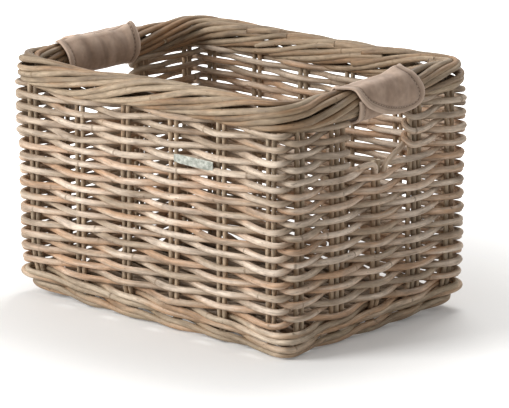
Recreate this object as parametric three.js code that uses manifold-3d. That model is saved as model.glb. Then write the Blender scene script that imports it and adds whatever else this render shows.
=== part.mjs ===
import * as THREE from 'three';
import { mergeVertices } from 'three/addons/utils/BufferGeometryUtils.js';
import Module from 'manifold-3d';

// Bicycle basket woven from whole rattan rods, with a leather wrap on each of its two handholds.
// Millimetres, +Z up. The origin is on the ground under the middle of the basket. The long
// front side looks along -Y, and the handholds are in the short sides at +X and -X.

// Overall sizes, measured on the line of upright stakes in the middle of the wall
const wallLength = 420;
const wallDepth = 300;
const rimTop = 293;
const clearance = 0.3;

// Upright stakes: pairs of rods, three rods beside each handhold. The foot presses the rods of
// a group together, and above it they stand a little apart.
const stakeRadius = 2.8;
const stakePitch = 8.8;
const pressedPitch = 5.4;
const longSideStakes = 6;
const pairRods = 2;
const handholdRods = 3;
const cornerInset = 22;
const handholdWidth = 92;
const leftHandholdShift = 17;

// Woven rows, counted downwards from row 0 under the rim
const weaverRadius = 3.5;
const rowGap = 0.42;
const splitRows = 8;
const rodsPerLowerWeave = 3;
const buttGap = 0.6;
const endTail = 6;

// Foot: the stakes lean inwards to rods that go over two stakes and under one
const footRise = 40;
const footInset = 12;
const footRodRadius = 3.7;
const footRodGap = 1.5;
const footRodCount = 4;
const stakeFoot = 0.6;

// Base: pairs of sticks under one long rod woven to and fro
const baseStickCount = 5;
const baseHeight = 14.5;
const baseRowGap = 3.6;
const baseTurnRoom = 1.2;
const baseWeaverSides = 4;

// Rim: rods laid side by side round a hollow middle, with a slow twist
const rimRodCount = 8;
const rimRodRadius = 3.4;
const rimRodGap = 2.75;
const rimTallness = 0.85;
const rimTurns = 3;
const rimCornerRadius = 34;
const rimLongSteps = 5;
const rimShortSteps = 3;
const rimCornerSteps = 3;

// Leather wraps
const leather = 2.2;
const gripLength = 134;
const sleeveSteps = 18;
const flapSteps = 10;
const flapOutlineCount = 20;
const patchSteps = 3;
const gripSideSlack = 1.6;
const gripDepthBelowRim = 9.8;
const underLayerHalfLength = 52;
const flapHalfWidth = 58;
const flapHalfHeight = 27;
const flapCentreDrop = 20;
const flapRoundness = 2.4;
const hingeAngle = 95;
const flapEndAngle = -52;
const flapBlendAngle = 45;
const underLayerAngle = 18;
const patchThickness = 0.7;
const patchHalfLength = 34;
const patchLowAngle = -24;
const patchHighAngle = 10;

// Name plate, left bare
const tagRow = 6;
const tagStake = 3;
const tagThickness = 0.6;
const tagStart = 3;
const tagLength = 58;
const tagTallLength = 31;
const tagTallHalf = 5;
const tagShoulder = 2;
const tagLipLength = 9;
const tagLipDepth = 5;

const rodSides = 5;
const stakeSides = 6;
const degree = Math.PI / 180;

const rattan = (hex) => new THREE.MeshStandardMaterial({ color: hex, roughness: 0.72, metalness: 0 });
const materials = {
  stake: rattan(0x9c8468),
  weaver: rattan(0xb39a7c),
  upper: rattan(0xa9917a),
  foot: rattan(0xa68c6c),
  base: rattan(0x8c7458),
  rim: rattan(0xb8a084),
  leather: new THREE.MeshStandardMaterial({ color: 0x96826f, roughness: 0.8, metalness: 0 }),
  patch: new THREE.MeshStandardMaterial({ color: 0x4a4038, roughness: 0.95, metalness: 0 }),
  plate: new THREE.MeshStandardMaterial({ color: 0xbec3b9, roughness: 0.45, metalness: 0.8 }),
};

const basket = new THREE.Group();
basket.name = 'bicycle_basket';

function addPart(name, geometry, material, parent = basket) {
  const mesh = new THREE.Mesh(geometry, material);
  mesh.name = name;
  parent.add(mesh);
  return mesh;
}

// A faceted rod holds as much wood as the round one, so its edges stand out by this factor
const fullness = (sides) => Math.sqrt((2 * Math.PI) / (sides * Math.sin((2 * Math.PI) / sides)));

// A regular section for one rod, with a flat facet below
function rodSection(radius, sides = rodSides) {
  const section = [];
  const edge = radius * fullness(sides);
  for (let i = 0; i < sides; i += 1) {
    const angle = -Math.PI / 2 + ((i + 0.5) * 2 * Math.PI) / sides;
    section.push(new THREE.Vector2(edge * Math.cos(angle), edge * Math.sin(angle)));
  }
  return section;
}

// How far a faceted rod reaches from its centre: sideways, up and down
const sideReach = (radius) => radius * fullness(rodSides) * Math.cos(Math.PI / 2 / rodSides);
const upReach = (radius) => radius * fullness(rodSides);
const downReach = (radius) => radius * fullness(rodSides) * Math.cos(Math.PI / rodSides);

// The rods of the rim stand in a ring that is a little taller than it is wide
const rimRing = (rimRodCount * (2 * rimRodRadius + rimRodGap)) / (2 * Math.PI);
const rimHalfWidth = rimRing - rimTallness;
const rimHalfHeight = rimRing + rimTallness;
const rimCentre = rimTop - rimHalfHeight - upReach(rimRodRadius);

// The stakes end under the rim, and the woven rows fill the height down to the foot
const stakeTop = rimCentre - rimHalfHeight - upReach(rimRodRadius) - clearance;
const topRowHeight = stakeTop - upReach(weaverRadius);
const rowPitch = upReach(weaverRadius) + downReach(weaverRadius) + rowGap;
const footRodPitch = upReach(footRodRadius) + downReach(footRodRadius) + footRodGap;
const footRodHeight = (level) => downReach(footRodRadius) + level * footRodPitch;
const footTop = footRodHeight(footRodCount - 1) + upReach(footRodRadius);
const lowestRow = footTop + clearance + downReach(weaverRadius);
const rowCount = Math.floor((topRowHeight - lowestRow) / rowPitch) + 1;
const rowHeight = (row) => topRowHeight - row * rowPitch;
const sillTop = rowHeight(splitRows) + upReach(weaverRadius) + clearance;

// Sweeps a section along straight lengths that meet in mitred bends. The section's y side
// faces upHint all the way, and its x runs sideways.
function sweep(points, section, upHint = new THREE.Vector3(0, 0, 1)) {
  const count = section.length;
  const last = points.length - 1;
  const directions = [];
  for (let i = 0; i < last; i += 1) {
    directions.push(points[i + 1].clone().sub(points[i]).normalize());
  }
  const positions = [];
  points.forEach((point, i) => {
    const before = directions[Math.max(i - 1, 0)];
    const after = directions[Math.min(i, last - 1)];
    const travel = before.clone().add(after).normalize();
    const sideways = travel.clone().cross(upHint).normalize();
    const upwards = sideways.clone().cross(travel);
    const straight = before.clone().cross(upHint).normalize();
    const stretch = 1 / sideways.dot(straight);
    for (const corner of section) {
      const p = point.clone().addScaledVector(sideways, corner.x * stretch).addScaledVector(upwards, corner.y);
      positions.push(p.x, p.y, p.z);
    }
  });
  const indices = [];
  for (let i = 0; i < last; i += 1) {
    for (let j = 0; j < count; j += 1) {
      const a = i * count + j;
      const b = i * count + ((j + 1) % count);
      indices.push(a, a + count, b, b, a + count, b + count);
    }
  }
  for (const [a, b, c] of THREE.ShapeUtils.triangulateShape(section, [])) {
    indices.push(a, b, c);
    indices.push(last * count + a, last * count + c, last * count + b);
  }
  const geometry = new THREE.BufferGeometry();
  geometry.setAttribute('position', new THREE.Float32BufferAttribute(positions, 3));
  geometry.setIndex(indices);
  return geometry;
}

const wasm = await Module();
wasm.setup();

function toSolid(geometry) {
  const bare = geometry.clone();
  for (const name of Object.keys(bare.attributes)) {
    if (name !== 'position') bare.deleteAttribute(name);
  }
  const merged = mergeVertices(bare, 1e-4);
  return new wasm.Manifold(new wasm.Mesh({
    numProp: 3,
    vertProperties: new Float32Array(merged.attributes.position.array),
    triVerts: new Uint32Array(merged.index.array),
  }));
}

function toGeometry(solid) {
  const mesh = solid.getMesh();
  const geometry = new THREE.BufferGeometry();
  geometry.setAttribute('position', new THREE.Float32BufferAttribute(mesh.vertProperties, 3));
  geometry.setIndex(Array.from(mesh.triVerts));
  return geometry;
}

// Rods that press into each other become one body
function joinRods(rods) {
  return toGeometry(rods.map(toSolid).reduce((joined, rod) => joined.add(rod)));
}

// Stake groups in order round the basket: front, right, back, left, seen from above
const front = { name: 'front', along: [1, 0], out: [0, -1] };
const right = { name: 'right', along: [0, 1], out: [1, 0] };
const back = { name: 'back', along: [-1, 0], out: [0, 1] };
const left = { name: 'left', along: [0, -1], out: [-1, 0] };

// From the middle of a group of stakes to the outside of its last rod
const stakeEdge = stakeRadius * fullness(stakeSides);
const groupReach = (rods) => ((rods - 1) / 2) * stakePitch + stakeEdge;
const handholdStake = handholdWidth / 2 + groupReach(handholdRods) + clearance + 2 * sideReach(weaverRadius);

function stakeGroups() {
  const longReach = wallLength / 2 - cornerInset;
  const shortReach = wallDepth / 2 - cornerInset;
  const longStep = (2 * longReach) / (longSideStakes - 1);
  const longPlaces = Array.from({ length: longSideStakes }, (_, i) => -longReach + i * longStep);
  const groups = [];
  for (const side of [front, right, back, left]) {
    const isLong = side.along[1] === 0;
    const middle = side === left ? leftHandholdShift : 0;
    const shortPlaces = [-shortReach, middle - handholdStake, middle, middle + handholdStake, shortReach];
    const places = isLong ? longPlaces : shortPlaces;
    const offset = (isLong ? wallDepth : wallLength) / 2;
    places.forEach((place, i) => {
      const besideHandhold = !isLong && Math.abs(place - middle) === handholdStake;
      groups.push({
        side,
        number: i + 1,
        x: side.along[0] * place + side.out[0] * offset,
        y: side.along[1] * place + side.out[1] * offset,
        rods: besideHandhold ? handholdRods : pairRods,
        beforeCorner: i === places.length - 1,
        afterCorner: i === 0,
        underHandhold: !isLong && place === middle,
        towardsHandhold: place > middle ? -1 : 1,
      });
    });
  }
  return groups;
}

const groups = stakeGroups();

// Each group's neighbours along its side, and the way to the nearer one
groups.forEach((group) => {
  const away = (other) => Math.hypot(other.x - group.x, other.y - group.y);
  group.neighbours = groups.filter((g) => g.side === group.side && Math.abs(g.number - group.number) === 1);
  group.span = Math.min(...group.neighbours.map(away));
});
const cornerMiddle = (cornerInset - stakePitch / 2) / 2;

// Below footRise the stake line shrinks towards the middle of the basket
const footLean = (z) => footInset * Math.max(0, 1 - z / footRise);
const leanX = (z) => 1 - footLean(z) / (wallLength / 2);
const leanY = (z) => 1 - footLean(z) / (wallDepth / 2);

// A point beside a stake group: out from the wall, and along it towards the next group
function beside(group, out, along, z) {
  const { side } = group;
  return new THREE.Vector3(
    group.x * leanX(z) + side.out[0] * out + side.along[0] * along,
    group.y * leanY(z) + side.out[1] * out + side.along[1] * along,
    z,
  );
}

// How far a rod's centre stands from the stake line where it lies against a stake
function seatAgainst(radius, z) {
  const tilt = z < footRise ? Math.atan(footInset / footRise) : 0;
  return (stakeEdge + clearance + sideReach(radius)) / Math.cos(tilt);
}

// How far a rod bows out in the middle of a group, so that it clears the outer stakes of the
// group on its way to the other side of the wall: first between two groups of one kind
const outerStake = (group) => ((group.rods - 1) / 2) * stakePitch;

function evenBow(group, radius, z) {
  const straight = seatAgainst(radius, z) / (1 - (2 * outerStake(group)) / group.span);
  return straight / Math.cos(Math.atan((2 * straight) / group.span));
}

// ... and then on the way to a neighbour where it bows further
function bow(group, radius, z) {
  const own = evenBow(group, radius, z);
  const both = own + Math.max(...group.neighbours.map((g) => evenBow(g, radius, z)));
  const seat = seatAgainst(radius, z) / Math.cos(Math.atan(both / group.span));
  const natural = Math.max(own, seat + (both * outerStake(group)) / group.span);
  return group.beforeCorner || group.afterCorner ? Math.max(natural, cornerMiddle * leanX(z)) : natural;
}

// The bend that a rod makes round the corner stakes of the side on which it lies outside
function cornerBend(group, next, side, radius, z) {
  const corner = new THREE.Vector3(
    (group.side.out[0] + next.side.out[0]) * (wallLength / 2) * leanX(z),
    (group.side.out[1] + next.side.out[1]) * (wallDepth / 2) * leanY(z),
    z,
  );
  const owner = side === group.side ? group : next;
  const back = side === group.side ? -1 : 1;
  const out = bow(owner, radius, z);
  const along = back * cornerMiddle * leanX(z);
  corner.x += side.out[0] * out + side.along[0] * along;
  corner.y += side.out[1] * out + side.along[1] * along;
  return corner;
}

// Route of a rod past stake groups, one stop per group: { index, outside, z }
function route(stops, radius) {
  const points = [];
  stops.forEach((stop, i) => {
    const group = groups[stop.index];
    const sign = stop.outside ? 1 : -1;
    const off = sign * bow(group, radius, stop.z);
    points.push(beside(group, off, 0, stop.z));
    const following = stops[i + 1];
    if (!following) return;
    if (following.index === stop.index) {
      const reach = group.towardsHandhold * (groupReach(group.rods) + clearance + sideReach(radius));
      points.push(beside(group, off, reach, stop.z));
      points.push(beside(group, -off, reach, following.z));
      return;
    }
    const nextGroup = groups[following.index];
    if (nextGroup.side === group.side) return;
    const forward = group.beforeCorner;
    const first = forward ? group : nextGroup;
    const second = forward ? nextGroup : group;
    const height = (stop.z + following.z) / 2;
    if (stop.outside) points.push(cornerBend(first, second, group.side, radius, height));
    if (following.outside) points.push(cornerBend(first, second, nextGroup.side, radius, height));
  });
  return points;
}

const isOutside = (row, index) => (row + index) % 2 === 1;

// Upright stakes

// Cuts the first end of a sweep level, by sliding its corners along the first length
function cutLevel(geometry, cornerCount, direction, z) {
  const position = geometry.attributes.position;
  for (let i = 0; i < cornerCount; i += 1) {
    const slide = (z - position.getZ(i)) / direction.z;
    position.setXYZ(i, position.getX(i) + slide * direction.x, position.getY(i) + slide * direction.y, z);
  }
  return geometry;
}

for (const group of groups) {
  const top = group.underHandhold ? sillTop : stakeTop;
  const outwards = new THREE.Vector3(...group.side.out, 0);
  const rods = [];
  for (let i = 0; i < group.rods; i += 1) {
    const place = i - (group.rods - 1) / 2;
    const points = [
      beside(group, 0, place * pressedPitch, stakeFoot),
      beside(group, 0, place * stakePitch, footRise),
      beside(group, 0, place * stakePitch, top),
    ];
    const lean = points[1].clone().sub(points[0]);
    const rod = sweep(points, rodSection(stakeRadius, stakeSides), outwards);
    rods.push(cutLevel(rod, stakeSides, lean, stakeFoot));
  }
  addPart(`stake_${group.side.name}_${group.number}`, joinRods(rods), materials.stake);
}

// Lower rows: two long rods chase each other round the basket. Each takes every second row
// and steps up by two rows where it passes the middle of the back.

const groupCount = groups.length;
const seamBefore = groups.findIndex((g) => g.side === back && g.number === longSideStakes / 2);
const seamAfter = seamBefore + 1;

function seamPoint(z, step) {
  const a = groups[seamBefore];
  const b = groups[seamAfter];
  return new THREE.Vector3((a.x + b.x) / 2 + step * a.side.along[0], (a.y + b.y) / 2, z);
}

function chaseWeaver(firstRow, turns, isFirst, isLast) {
  const stops = [];
  for (let i = 0; i < turns * groupCount; i += 1) {
    const row = firstRow - 2 * Math.floor(i / groupCount);
    const index = (seamAfter + i) % groupCount;
    stops.push({ index, outside: isOutside(row, index), z: rowHeight(row) });
  }
  const points = route(stops, weaverRadius);
  const lastRow = firstRow - 2 * (turns - 1);
  const startsInTheOpen = isFirst && firstRow !== rowCount - 1;
  const endsInTheOpen = isLast && lastRow !== splitRows;
  const startHeight = isFirst ? rowHeight(firstRow) : rowHeight(firstRow) - rowPitch;
  const endHeight = isLast ? rowHeight(lastRow) : rowHeight(lastRow) + rowPitch;
  const head = points[0].clone();
  const tail = points[points.length - 1].clone();
  const halfGap = buttGap / 2;
  if (startsInTheOpen) {
    points.unshift(head.sub(new THREE.Vector3(...groups[seamAfter].side.along, 0).multiplyScalar(endTail)));
  } else {
    points.unshift(seamPoint(startHeight, halfGap));
  }
  if (endsInTheOpen) {
    points.push(tail.add(new THREE.Vector3(...groups[seamBefore].side.along, 0).multiplyScalar(endTail)));
  } else {
    points.push(seamPoint(endHeight, -halfGap));
  }
  return sweep(points, rodSection(weaverRadius));
}

// The rows that one weave takes are shared out among its rods, more turns to the lower ones
function chaseWeavers(letter, bottomRow) {
  let row = bottomRow;
  let turnsLeft = Math.floor((bottomRow - splitRows) / 2) + 1;
  for (let i = 0; i < rodsPerLowerWeave; i += 1) {
    const turns = Math.ceil(turnsLeft / (rodsPerLowerWeave - i));
    const isLast = i === rodsPerLowerWeave - 1;
    addPart(`wall_weaver_${letter}${i + 1}`, chaseWeaver(row, turns, i === 0, isLast), materials.weaver);
    row -= 2 * turns;
    turnsLeft -= turns;
  }
}

chaseWeavers('a', rowCount - 1);
chaseWeavers('b', rowCount - 2);

// Upper rows: each half of the wall is woven to and fro and turns round the stakes that edge
// the handholds, four rows to a rod

function upperWeaver(fromIndex, toIndex, topRow) {
  const forth = [];
  for (let i = fromIndex; i !== toIndex; i = (i + 1) % groupCount) forth.push(i);
  forth.push(toIndex);
  const stops = [];
  const rowsPerRod = splitRows / 2;
  for (let i = 0; i < rowsPerRod; i += 1) {
    const row = topRow + i;
    const order = i % 2 === 0 ? forth : [...forth].reverse();
    for (const index of order) stops.push({ index, outside: isOutside(row, index), z: rowHeight(row) });
  }
  const points = route(stops, weaverRadius);
  const edge = groups[fromIndex];
  const reach = edge.towardsHandhold * groupReach(edge.rods);
  const startSide = stops[0].outside ? 1 : -1;
  const lastStop = stops[stops.length - 1];
  const endSide = lastStop.outside ? 1 : -1;
  points.unshift(beside(edge, startSide * bow(edge, weaverRadius, stops[0].z), reach, stops[0].z));
  points.push(beside(edge, endSide * bow(edge, weaverRadius, lastStop.z), reach, lastStop.z));
  return sweep(points, rodSection(weaverRadius));
}

const handholdEdges = groups.flatMap((g, i) => (g.rods === handholdRods ? [i] : []));
const [frontRight, backRight, backLeft, frontLeft] = handholdEdges;
for (let i = 0; i < 2; i += 1) {
  const topRow = (i * splitRows) / 2;
  addPart(`upper_front_weaver_${i + 1}`, upperWeaver(frontLeft, frontRight, topRow), materials.upper);
  addPart(`upper_back_weaver_${i + 1}`, upperWeaver(backRight, backLeft, topRow), materials.upper);
}

// Foot rods: each starts one stake later than the rod below it

for (let level = 0; level < footRodCount; level += 1) {
  const z = footRodHeight(level);
  const stops = [];
  for (let i = 0; i < groupCount; i += 1) {
    const index = (seamAfter + i) % groupCount;
    stops.push({ index, outside: (i + level) % 3 !== 0, z });
  }
  const points = route(stops, footRodRadius);
  const lean = new THREE.Vector3(leanX(z), leanY(z), 1);
  points.unshift(seamPoint(z, buttGap / 2).multiply(lean));
  points.push(seamPoint(z, -buttGap / 2).multiply(lean));
  addPart(`foot_rod_${level + 1}`, sweep(points, rodSection(footRodRadius)), materials.foot);
}

// Base

// The base is pressed into the foot: its turns lie inside the lowest foot rod, and its first
// and last rows, a little higher, inside the second one

function insideOfFoot(sides, halfSize, level) {
  const z = footRodHeight(level);
  const reaches = groups.filter((g) => sides.includes(g.side)).map((g) => {
    const out = bow(g, footRodRadius, z);
    return out + sideReach(footRodRadius) / Math.cos(Math.atan((2 * out) / g.span));
  });
  return halfSize - footLean(z) - Math.max(...reaches) - clearance;
}

const baseHalfLength = insideOfFoot([right, left], wallLength / 2, 0);
const baseHalfDepth = insideOfFoot([front, back], wallDepth / 2, 1);
const baseRodReach = weaverRadius * fullness(baseWeaverSides) * Math.cos(Math.PI / baseWeaverSides);
const baseTurn = baseHalfLength - baseRodReach;
const lastStick = baseTurn - pressedPitch / 2 - stakeEdge - baseTurnRoom - baseRodReach;
const baseStickSpacing = (2 * lastStick) / (baseStickCount - 1);
const baseSeat = stakeRadius + clearance + baseRodReach;
const baseSlope = Math.atan((2 * baseSeat) / baseStickSpacing);
const baseBow = baseSeat / (1 - pressedPitch / baseStickSpacing) / Math.cos(baseSlope);

const stickPlaces = Array.from({ length: baseStickCount }, (_, i) => -lastStick + i * baseStickSpacing);
stickPlaces.forEach((x, i) => {
  const sticks = [-1, 1].map((sign) => {
    const place = x + (sign * pressedPitch) / 2;
    const points = [-baseHalfDepth, baseHalfDepth].map((y) => new THREE.Vector3(place, y, baseHeight));
    return sweep(points, rodSection(stakeRadius, stakeSides));
  });
  addPart(`base_stick_${i + 1}`, joinRods(sticks), materials.base);
});

const lastBaseRow = baseHalfDepth - baseRodReach;
const baseRowCount = Math.floor((2 * lastBaseRow) / (2 * baseRodReach + baseRowGap)) + 1;
const basePoints = [];
for (let row = 0; row < baseRowCount; row += 1) {
  const y = -lastBaseRow + (2 * lastBaseRow * row) / (baseRowCount - 1);
  const crossing = stickPlaces.map((x, i) => {
    const sign = (i + row) % 2 === 0 ? 1 : -1;
    return new THREE.Vector3(x, y, baseHeight + sign * baseBow);
  });
  const line = [
    crossing[0].clone().setX(-baseTurn),
    ...crossing,
    crossing[crossing.length - 1].clone().setX(baseTurn),
  ];
  if (row % 2 === 1) line.reverse();
  basePoints.push(...line);
}
addPart('base_weaver', sweep(basePoints, rodSection(weaverRadius, baseWeaverSides)), materials.base);

// Rim

function rimStations() {
  const stations = [];
  const sides = [front, right, back, left];
  let travelled = 0;
  sides.forEach((side, i) => {
    const isLong = side.along[1] === 0;
    const half = (isLong ? wallLength : wallDepth) / 2 - rimCornerRadius;
    const offset = (isLong ? wallDepth : wallLength) / 2;
    const steps = isLong ? rimLongSteps : rimShortSteps;
    for (let k = 0; k < steps; k += 1) {
      const place = -half + (2 * half * k) / steps;
      stations.push({
        x: side.along[0] * place + side.out[0] * offset,
        y: side.along[1] * place + side.out[1] * offset,
        out: [...side.out],
        s: travelled + (2 * half * k) / steps,
      });
    }
    travelled += 2 * half;
    const next = sides[(i + 1) % sides.length];
    const centreX = side.along[0] * half + side.out[0] * (offset - rimCornerRadius);
    const centreY = side.along[1] * half + side.out[1] * (offset - rimCornerRadius);
    for (let k = 0; k < rimCornerSteps; k += 1) {
      const turn = ((Math.PI / 2) * k) / rimCornerSteps;
      const out = [0, 1].map((n) => side.out[n] * Math.cos(turn) + next.out[n] * Math.sin(turn));
      stations.push({
        x: centreX + out[0] * rimCornerRadius,
        y: centreY + out[1] * rimCornerRadius,
        out,
        s: travelled + rimCornerRadius * turn,
      });
    }
    travelled += (rimCornerRadius * Math.PI) / 2;
  });
  return { stations, perimeter: travelled };
}

const { stations, perimeter } = rimStations();

function rimRod(number) {
  const start = Math.round((number * stations.length) / rimRodCount);
  const points = [];
  for (let i = 0; i <= stations.length; i += 1) {
    const station = stations[(start + i) % stations.length];
    const phase = 2 * Math.PI * ((rimTurns * station.s) / perimeter + number / rimRodCount);
    const out = rimHalfWidth * Math.cos(phase);
    points.push(new THREE.Vector3(
      station.x + station.out[0] * out,
      station.y + station.out[1] * out,
      rimCentre + rimHalfHeight * Math.sin(phase),
    ));
  }
  const last = points.length - 1;
  points[0].lerp(points[1], buttGap / 2 / points[0].distanceTo(points[1]));
  points[last].lerp(points[last - 1], buttGap / 2 / points[last].distanceTo(points[last - 1]));
  return sweep(points, rodSection(rimRodRadius));
}

for (let i = 0; i < rimRodCount; i += 1) {
  addPart(`rim_rod_${i + 1}`, rimRod(i), materials.rim);
}

// Leather wraps

// The inside of the wrap is an oval round the rim and the top of the wall
const gripInnerHalfWidth = rimHalfWidth + sideReach(rimRodRadius) + gripSideSlack;
const rimBottom = rimCentre - rimHalfHeight - upReach(rimRodRadius);
const gripInnerHalfHeight = (rimTop - rimBottom + gripDepthBelowRim) / 2;
const gripCentre = rimTop + clearance - gripInnerHalfHeight;
const layer = leather / 2;
const flapLift = leather + 3 * clearance + 2 * patchThickness;

// A point on the wrap's oval, from the outward side (0 degrees) over the top (90 degrees)
function ovalPoint(angle, offset) {
  const x = (gripInnerHalfWidth + offset) * Math.cos(angle * degree);
  const y = (gripInnerHalfHeight + offset) * Math.sin(angle * degree);
  return new THREE.Vector2(x, y);
}

// A band that follows the oval between two angles; offsetAt gives its middle line
function band(fromAngle, toAngle, offsetAt, halfThickness, halfLength, steps, roundStart = false) {
  const outer = [];
  const inner = [];
  for (let i = 0; i <= steps; i += 1) {
    const angle = fromAngle + ((toAngle - fromAngle) * i) / steps;
    outer.push(ovalPoint(angle, offsetAt(angle) + halfThickness));
    inner.push(ovalPoint(angle, offsetAt(angle) - halfThickness));
  }
  const outline = [...outer, ...inner.reverse()];
  if (roundStart) {
    const centre = ovalPoint(fromAngle, offsetAt(fromAngle));
    const spoke = outer[0].clone().sub(centre);
    for (const turn of [135, 90, 45]) {
      outline.push(centre.clone().add(spoke.clone().rotateAround(new THREE.Vector2(), turn * degree)));
    }
  }
  const geometry = new THREE.ExtrudeGeometry(new THREE.Shape(outline), {
    depth: 2 * halfLength,
    bevelEnabled: false,
    steps: 1,
  });
  geometry.rotateX(Math.PI / 2);
  geometry.translate(0, halfLength, 0);
  return geometry;
}

// The flap seen from outside is a wide oval
function flapOutline() {
  const outline = [];
  for (let i = 0; i < flapOutlineCount; i += 1) {
    const angle = (2 * Math.PI * i) / flapOutlineCount;
    const c = Math.cos(angle);
    const s = Math.sin(angle);
    const x = flapHalfWidth * Math.sign(c) * Math.abs(c) ** (2 / flapRoundness);
    const y = flapHalfHeight * Math.sign(s) * Math.abs(s) ** (2 / flapRoundness);
    outline.push(new THREE.Vector2(x, y));
  }
  const depth = 4 * gripInnerHalfWidth;
  const geometry = new THREE.ExtrudeGeometry(new THREE.Shape(outline), { depth, bevelEnabled: false, steps: 1 });
  geometry.rotateX(Math.PI / 2);
  geometry.rotateZ(Math.PI / 2);
  geometry.translate(-depth / 2, 0, gripInnerHalfHeight - flapCentreDrop);
  return geometry;
}

const smooth = (t) => THREE.MathUtils.smoothstep(t, 0, 1);
const sleeveStart = hingeAngle + (layer + 2 * clearance) / gripInnerHalfWidth / degree;
const flapOffset = (angle) => layer + flapLift * smooth((hingeAngle - angle) / flapBlendAngle);
const sleeveOffset = () => layer;
const loopOffset = () => leather + clearance + patchThickness / 2;
const hookOffset = () => loopOffset() + patchThickness + clearance;

const sleeveBand = band(sleeveStart, 360 + underLayerAngle, sleeveOffset, layer, gripLength / 2, sleeveSteps);
const trimDepth = 2 * gripInnerHalfHeight;
const trimLength = gripLength / 2 - underLayerHalfLength + leather;
let sleeveSolid = toSolid(sleeveBand);
const stakeNotch = handholdWidth / 2 - 2 * clearance;
const notchLength = gripLength / 2 - stakeNotch + leather;
const notchTop = stakeTop + 2 * clearance - gripCentre;
for (const end of [-1, 1]) {
  const trim = new THREE.BoxGeometry(trimDepth, trimLength, 3 * gripInnerHalfHeight);
  trim.translate(trimDepth / 2 + leather, end * (underLayerHalfLength + trimLength / 2), 0);
  const notch = new THREE.BoxGeometry(4 * gripInnerHalfWidth, notchLength, gripInnerHalfHeight);
  notch.translate(0, end * (stakeNotch + notchLength / 2), notchTop - gripInnerHalfHeight / 2);
  sleeveSolid = sleeveSolid.subtract(toSolid(trim)).subtract(toSolid(notch));
}
const sleeveGeometry = toGeometry(sleeveSolid);

const flapBand = band(hingeAngle, flapEndAngle, flapOffset, layer, flapHalfWidth + leather, flapSteps, true);
const flapGeometry = toGeometry(toSolid(flapBand).intersect(toSolid(flapOutline())));

const loopGeometry = band(patchLowAngle, patchHighAngle, loopOffset, patchThickness / 2, patchHalfLength, patchSteps);
const hookGeometry = band(patchLowAngle, patchHighAngle, hookOffset, patchThickness / 2, patchHalfLength, patchSteps);

for (const [name, turn, shift] of [['right', 0, 0], ['left', Math.PI, leftHandholdShift]]) {
  const grip = new THREE.Group();
  grip.rotation.z = turn;
  grip.position.set((Math.cos(turn) * wallLength) / 2, -shift, gripCentre);
  basket.add(grip);
  addPart(`grip_${name}_sleeve`, sleeveGeometry, materials.leather, grip);
  addPart(`grip_${name}_flap`, flapGeometry, materials.leather, grip);
  addPart(`grip_${name}_loop_patch`, loopGeometry, materials.patch, grip);
  addPart(`grip_${name}_hook_patch`, hookGeometry, materials.patch, grip);
}

// Name plate on the outside of one woven rod, held by two lips that fold over the rod

function tagPlate() {
  const stake = groups[tagStake];
  const nextStake = groups[tagStake + 1];
  const z = rowHeight(tagRow);
  const from = beside(stake, bow(stake, weaverRadius, z), 0, z);
  const to = beside(nextStake, -bow(nextStake, weaverRadius, z), 0, z);
  const slope = Math.atan2(to.y - from.y, to.x - from.x);
  const end = tagStart + tagLength;
  const tall = tagStart + tagTallLength;
  const lowBottom = -(rowPitch - upReach(weaverRadius) - clearance);
  const lowTop = rowPitch - downReach(weaverRadius) - clearance;
  const outline = [
    [tagStart, -tagTallHalf], [tall, -tagTallHalf], [tall + tagShoulder, lowBottom], [end, lowBottom],
    [end, lowTop], [tall + tagShoulder, lowTop], [tall, tagTallHalf], [tagStart, tagTallHalf],
  ].map(([x, y]) => new THREE.Vector2(x, y));
  const face = new THREE.ExtrudeGeometry(new THREE.Shape(outline), {
    depth: tagThickness,
    bevelEnabled: false,
    steps: 1,
  });
  face.rotateX(Math.PI / 2);
  face.translate(0, -(sideReach(weaverRadius) + clearance), 0);
  let solid = toSolid(face);
  for (const sign of [-1, 1]) {
    const lip = new THREE.BoxGeometry(tagLipLength, tagLipDepth, tagThickness);
    const lipY = -(sideReach(weaverRadius) + clearance) - tagThickness / 2 + tagLipDepth / 2;
    lip.translate(tagStart + tagLipLength / 2, lipY, sign * (tagTallHalf - tagThickness / 2));
    solid = solid.add(toSolid(lip));
  }
  const geometry = toGeometry(solid);
  const mesh = addPart('tag_plate', geometry, materials.plate);
  mesh.rotation.z = slope;
  mesh.position.copy(from);
}

tagPlate();

export default basket;
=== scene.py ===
import math

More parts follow.
